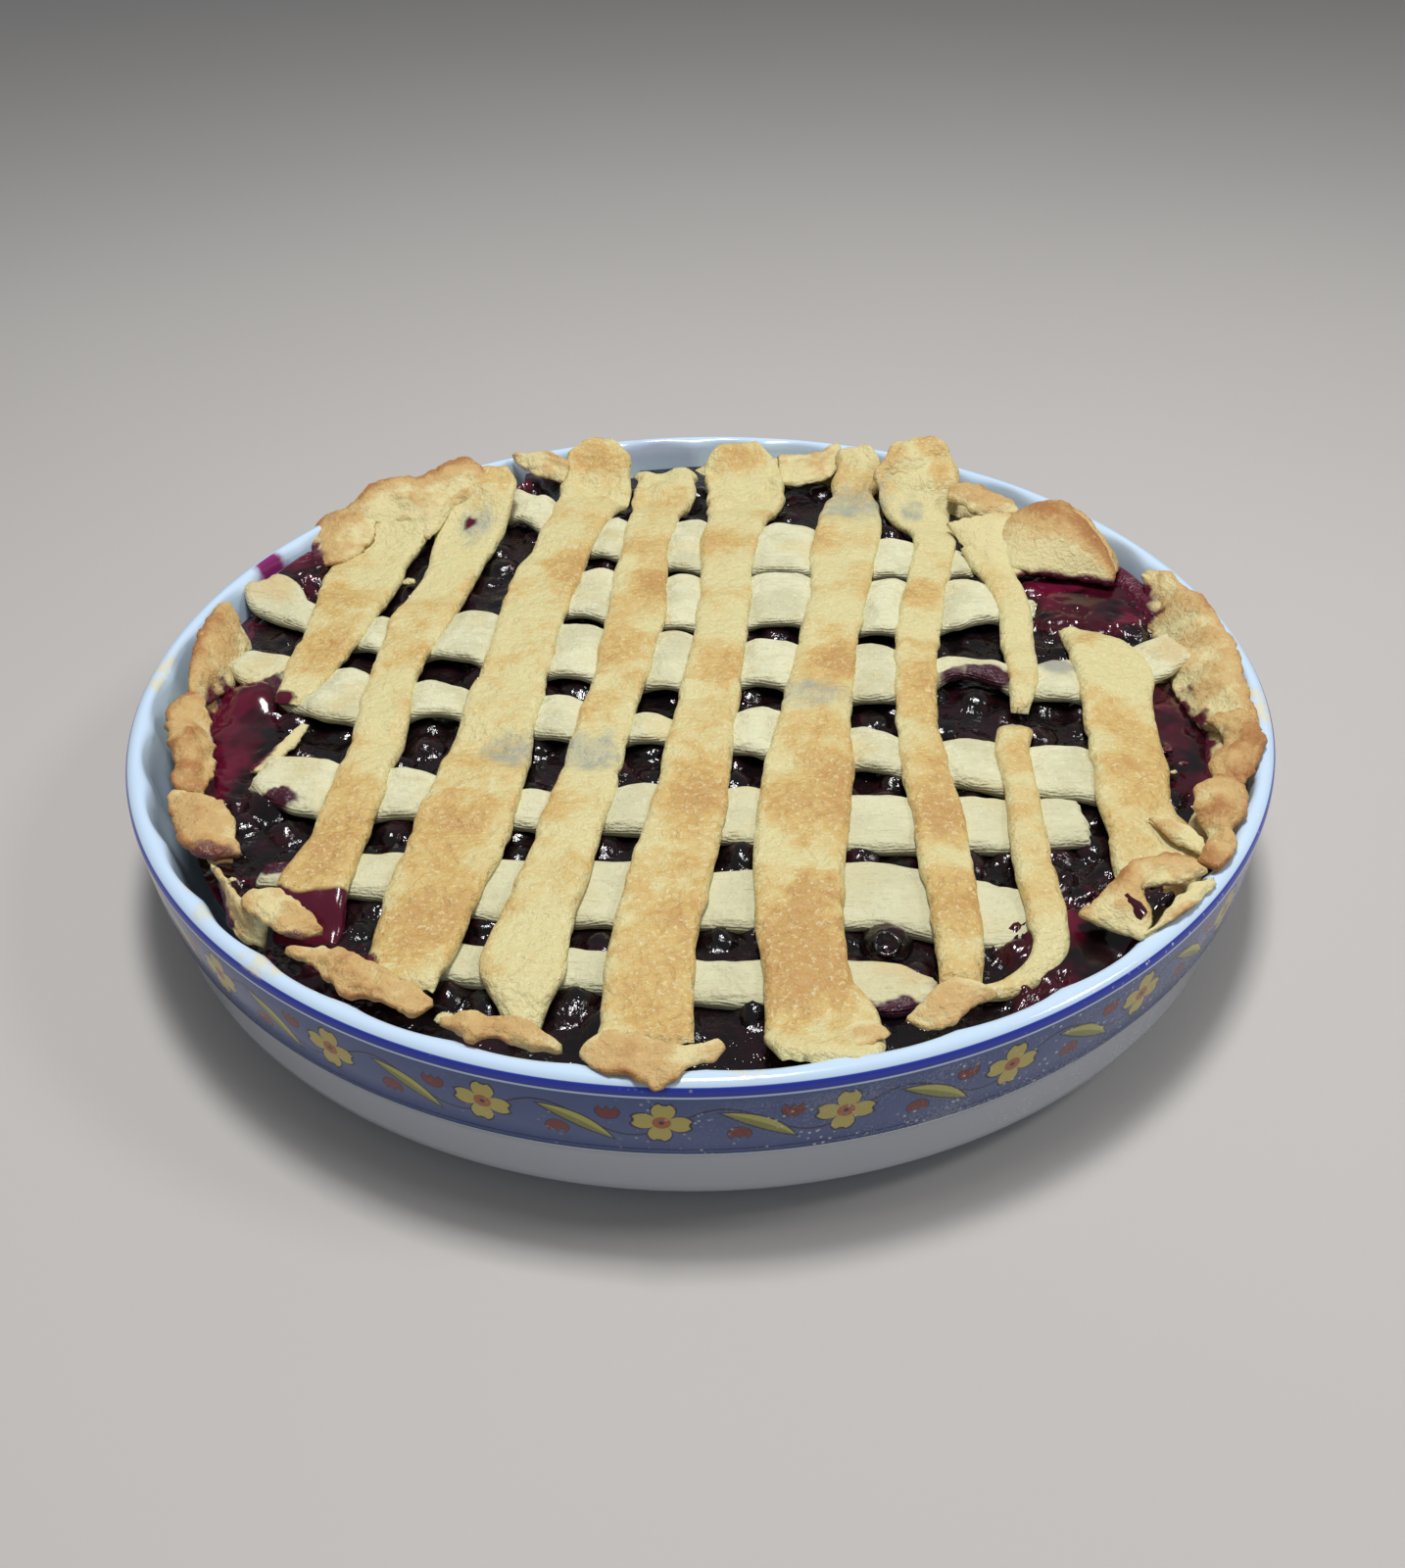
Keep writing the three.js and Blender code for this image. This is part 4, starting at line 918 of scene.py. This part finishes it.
coat(flaky_crust, {
    "Base Color": crust,
    "Roughness": 0.6 - juiced.between(0.1, 0.6) * 0.46 + speckle * 0.1,
    "Normal": (speckle * 0.6 + flakes * 0.9 + abs(place.mottle(4, 4) - 0.5) * 1.3).relief(1.0, 0.9),
    **SOFT_DOUGH,
})
settle(case_shape, "flaky_case", flaky_crust, "crust", "pastry_case")


# The filling is whole berries cooked down in their own dark juice, which has set to a soft jelly.
# The berries stand out of it in the openings of the lattice and have wrinkled skins.
JUICE_LEVEL = 36.6
JUICE_REACH = 142.6
JUICE_STEPS = 240
# Swells of the juice: x, y, rise, and the distances where a swell ends and where it is full.
WELLS = [(97, -103, 8.6, 12, 6), (-121.5, -3, 3.6, 12, 2), (-107, -49, 4.4, 8, 3)]
chance = random.Random(7)
BERRY_SPACING = 9.4
BERRY_REACH = 128
BERRY_TRIES = 9000
BERRY_FLATNESS = 0.92
CROWNED_BERRY = (40.0, -103.0, 6.4)
CROWN_WAY = Vector((-0.1, -0.5, 0.86))
tries = [chance.uniform(-BERRY_REACH, BERRY_REACH) for _ in range(2 * BERRY_TRIES)]
tries = np.array(tries).reshape(BERRY_TRIES, 2)
open_by = beyond(cross_runs + long_runs, tries)
in_pool = spots(np.column_stack([tries, np.full(BERRY_TRIES, CROSS_BED)]), POOLS)
berries = [CROWNED_BERRY]
for (at_x, at_y), clear, drowned in zip(tries, open_by, in_pool):
    if clear > -2.5 and drowned < 0.35 and math.hypot(at_x, at_y) < BERRY_REACH:
        if all(math.hypot(at_x - bx, at_y - by) > BERRY_SPACING for bx, by, _ in berries):
            berries.append((at_x, at_y, chance.uniform(5.6, 7.2)))
berry_shape = bmesh.new()
sunk = []
for number, (at_x, at_y, size) in enumerate(berries):
    crowned = number == 0
    stands = 4.6 if crowned else chance.uniform(1.2, 3.6)
    centre = Vector((at_x, at_y, JUICE_LEVEL + stands - size))
    sunk.append((at_x, at_y, size, centre.z))
    ball = bmesh.ops.create_icosphere(berry_shape, subdivisions=5 if crowned else 3, radius=1)
    turned = chance.uniform(0, 6)
    spin = Matrix.Rotation(turned, 3, Vector((chance.uniform(-1, 1), chance.uniform(-1, 1), 1)))
    for vert in ball["verts"]:
        way = spin @ vert.co
        shrivel = 0.2 * noise.noise(way * 1.6 + Vector((number, 0, 0)))
        shrivel += 0.09 * noise.noise(way * 4 + Vector((0, number, 0)))
        if crowned:
            from_tip = way.angle(CROWN_WAY)
            ring = math.exp(-(((from_tip - 0.38) / 0.07) ** 2))
            dent = math.exp(-((from_tip / 0.27) ** 4))
            shrivel = 0.3 * shrivel + 0.13 * ring - 0.2 * dent
        vert.co = (centre + way * Vector((1, 1, BERRY_FLATNESS)) * size * (1 + shrivel)) * MM

sunk = np.array(sunk)
juice_shape, *shares = new_grid(JUICE_STEPS, JUICE_STEPS)
square = np.column_stack(shares) * 2 - 1
bearing = np.degrees(np.arctan2(square[:, 1], square[:, 0])) % 360
behind_crust = soft_step(38.5, 41, np.interp(bearing, *np.array(CASE_EDGE).T))
brim = JUICE_REACH - 6 * behind_crust - np.interp(bearing, *np.array(CASE_SHRINK).T)
spread = square * np.sqrt(1 - square[:, ::-1] ** 2 / 2) * brim[:, None]
level = np.full(len(spread), JUICE_LEVEL) + 0.3 * ripple(spread, 12, 1)
for at_x, at_y, size, low in sunk[1:]:
    gap = np.hypot(spread[:, 0] - at_x, spread[:, 1] - at_y)
    near = gap < size * 2
    cling = low + np.sqrt(np.maximum(size**2 - gap[near] ** 2, 0)) * BERRY_FLATNESS
    climb = JUICE_LEVEL + (cling - JUICE_LEVEL).clip(0) * 0.85
    level[near] = np.maximum(level[near], climb)
flat_points = np.column_stack([spread, level])
thin = spots(flat_points, POOLS)
for pool, lift in zip(POOLS, POOL_LIFTS):
    flat_points[:, 2] += spots(flat_points, [pool]) * (lift + 0.35 * ripple(flat_points, 11, 2))
for at_x, at_y, rise, foot, crown in WELLS:
    welling = np.hypot(spread[:, 0] - at_x, spread[:, 1] - at_y)
    flat_points[:, 2] += rise * soft_step(foot, crown, welling)
mould(juice_shape, flat_points, thin=thin, bright=spots(flat_points, BRIGHT_POOLS))

BERRY_BLACK = colour(16, 11, 13)
BERRY_WINE = colour(46, 14, 24)
JUICE_WINE = colour(62, 9, 25)
JUICE_BRIGHT = colour(102, 18, 46)
berry_skin, place, _ = new_finish("berry_skin")
bloom = place.mottle(7, 3, 0.6)
wrinkle = place.mottle(2.4, 3, 0.6)
coat(berry_skin, {
    "Base Color": bloom.between(0.42, 0.7).lay(BERRY_BLACK, BERRY_WINE),
    "Roughness": 0.03 + wrinkle * 0.05,
    "Normal": (wrinkle * 0.9 + place.mottle(5, 3) * 0.7).relief(0.8, 0.6),
    "Coat Weight": 0.2,
    "Coat Roughness": 0.03,
})
juice, place, _ = new_finish("juice")
thin_film, bright_film = map(place.mask, ("thin", "bright"))
depth = place.mottle(8, 3, 0.6)
wine = (depth.between(0.4, 0.75) * 0.6).lay(BERRY_BLACK, BERRY_WINE)
wine = (thin_film.between(0.08, 0.5) * place.mottle(11, 3).between(0.38, 0.56)).lay(wine, JUICE_WINE)
wine = (thin_film.between(0.25, 0.8) * place.mottle(19, 3).between(0.53, 0.7)).lay(wine, JUICE_BRIGHT)
wine = (bright_film * (0.3 + place.mottle(7, 3).between(0.36, 0.56) * 0.6)).lay(wine, JUICE_BRIGHT)
coat(juice, {
    "Base Color": wine,
    "Roughness": 0.03 + depth * 0.06 + thin_film * 0.08,
    "Normal": ((place.mottle(2, 3) + place.mottle(6, 2)) * (1 - thin_film * 0.9)).relief(0.8, 0.6),
    "Coat Weight": 0.1,
    "Coat Roughness": 0.03,
})
settle(berry_shape, "berries", berry_skin, "berries", "berry_filling")
settle(juice_shape, "juice", juice, "berries", "berry_filling")


# The tart stands on a plain pale floor under soft light from above, from the right and from the front.
# The camera looks down on it from the front.
floor_mesh = bpy.data.meshes.new("floor")
floor_mesh.from_pydata([(-3, -3, 0), (3, -3, 0), (3, 3, 0), (-3, 3, 0)], [], [(0, 1, 2, 3)])
floor = bpy.data.objects.new("floor", floor_mesh)
scene.collection.objects.link(floor)
floor_paint, place, _ = new_finish("floor_paint")
coat(floor_paint, {
    "Base Color": place.mottle(300, 2).lay(colour(200, 196, 192), colour(194, 190, 186)),
    "Roughness": 0.85,
})
floor_mesh.materials.append(floor_paint)

world = bpy.data.worlds.new("room")
scene.world = world
world.use_nodes = True
world.node_tree.nodes["Background"].inputs["Color"].default_value = (0.92, 0.95, 1, 1)
world.node_tree.nodes["Background"].inputs["Strength"].default_value = 0.22
# Each lamp's place and size in metres, and its power in watts.
LAMPS = {
    "overhead": ((0.02, 0.07, 1.1), 0.18, 6.6),
    "window": ((0.75, -0.1, 0.85), 0.22, 2.0),
    "reading": ((0.0, -0.1, 0.75), 0.16, 1.0),
}
for name, (stand, size, power) in LAMPS.items():
    lamp = bpy.data.lights.new(name, "AREA")
    lamp.size = size
    lamp.energy = power
    holder = bpy.data.objects.new(name, lamp)
    holder.location = stand
    holder.rotation_euler = (Vector((0, 0, 0.03)) - Vector(stand)).to_track_quat("-Z", "Y").to_euler()
    scene.collection.objects.link(holder)

ELEVATION, ROLL = math.radians(37.44), math.radians(-1.25)
CAMERA_PLACE = (0.00041, -0.32529, 0.25219)
lens = bpy.data.cameras.new("camera")
lens.sensor_width = 36
lens.lens = 32.265
lens.clip_start = 0.01
camera = bpy.data.objects.new("camera", lens)
scene.collection.objects.link(camera)
tilted = Matrix.Rotation(math.pi / 2 - ELEVATION, 4, "X") @ Matrix.Rotation(ROLL, 4, "Z")
camera.matrix_world = Matrix.Translation(CAMERA_PLACE) @ tilted
scene.camera = camera
scene.view_settings.view_transform = "Standard"
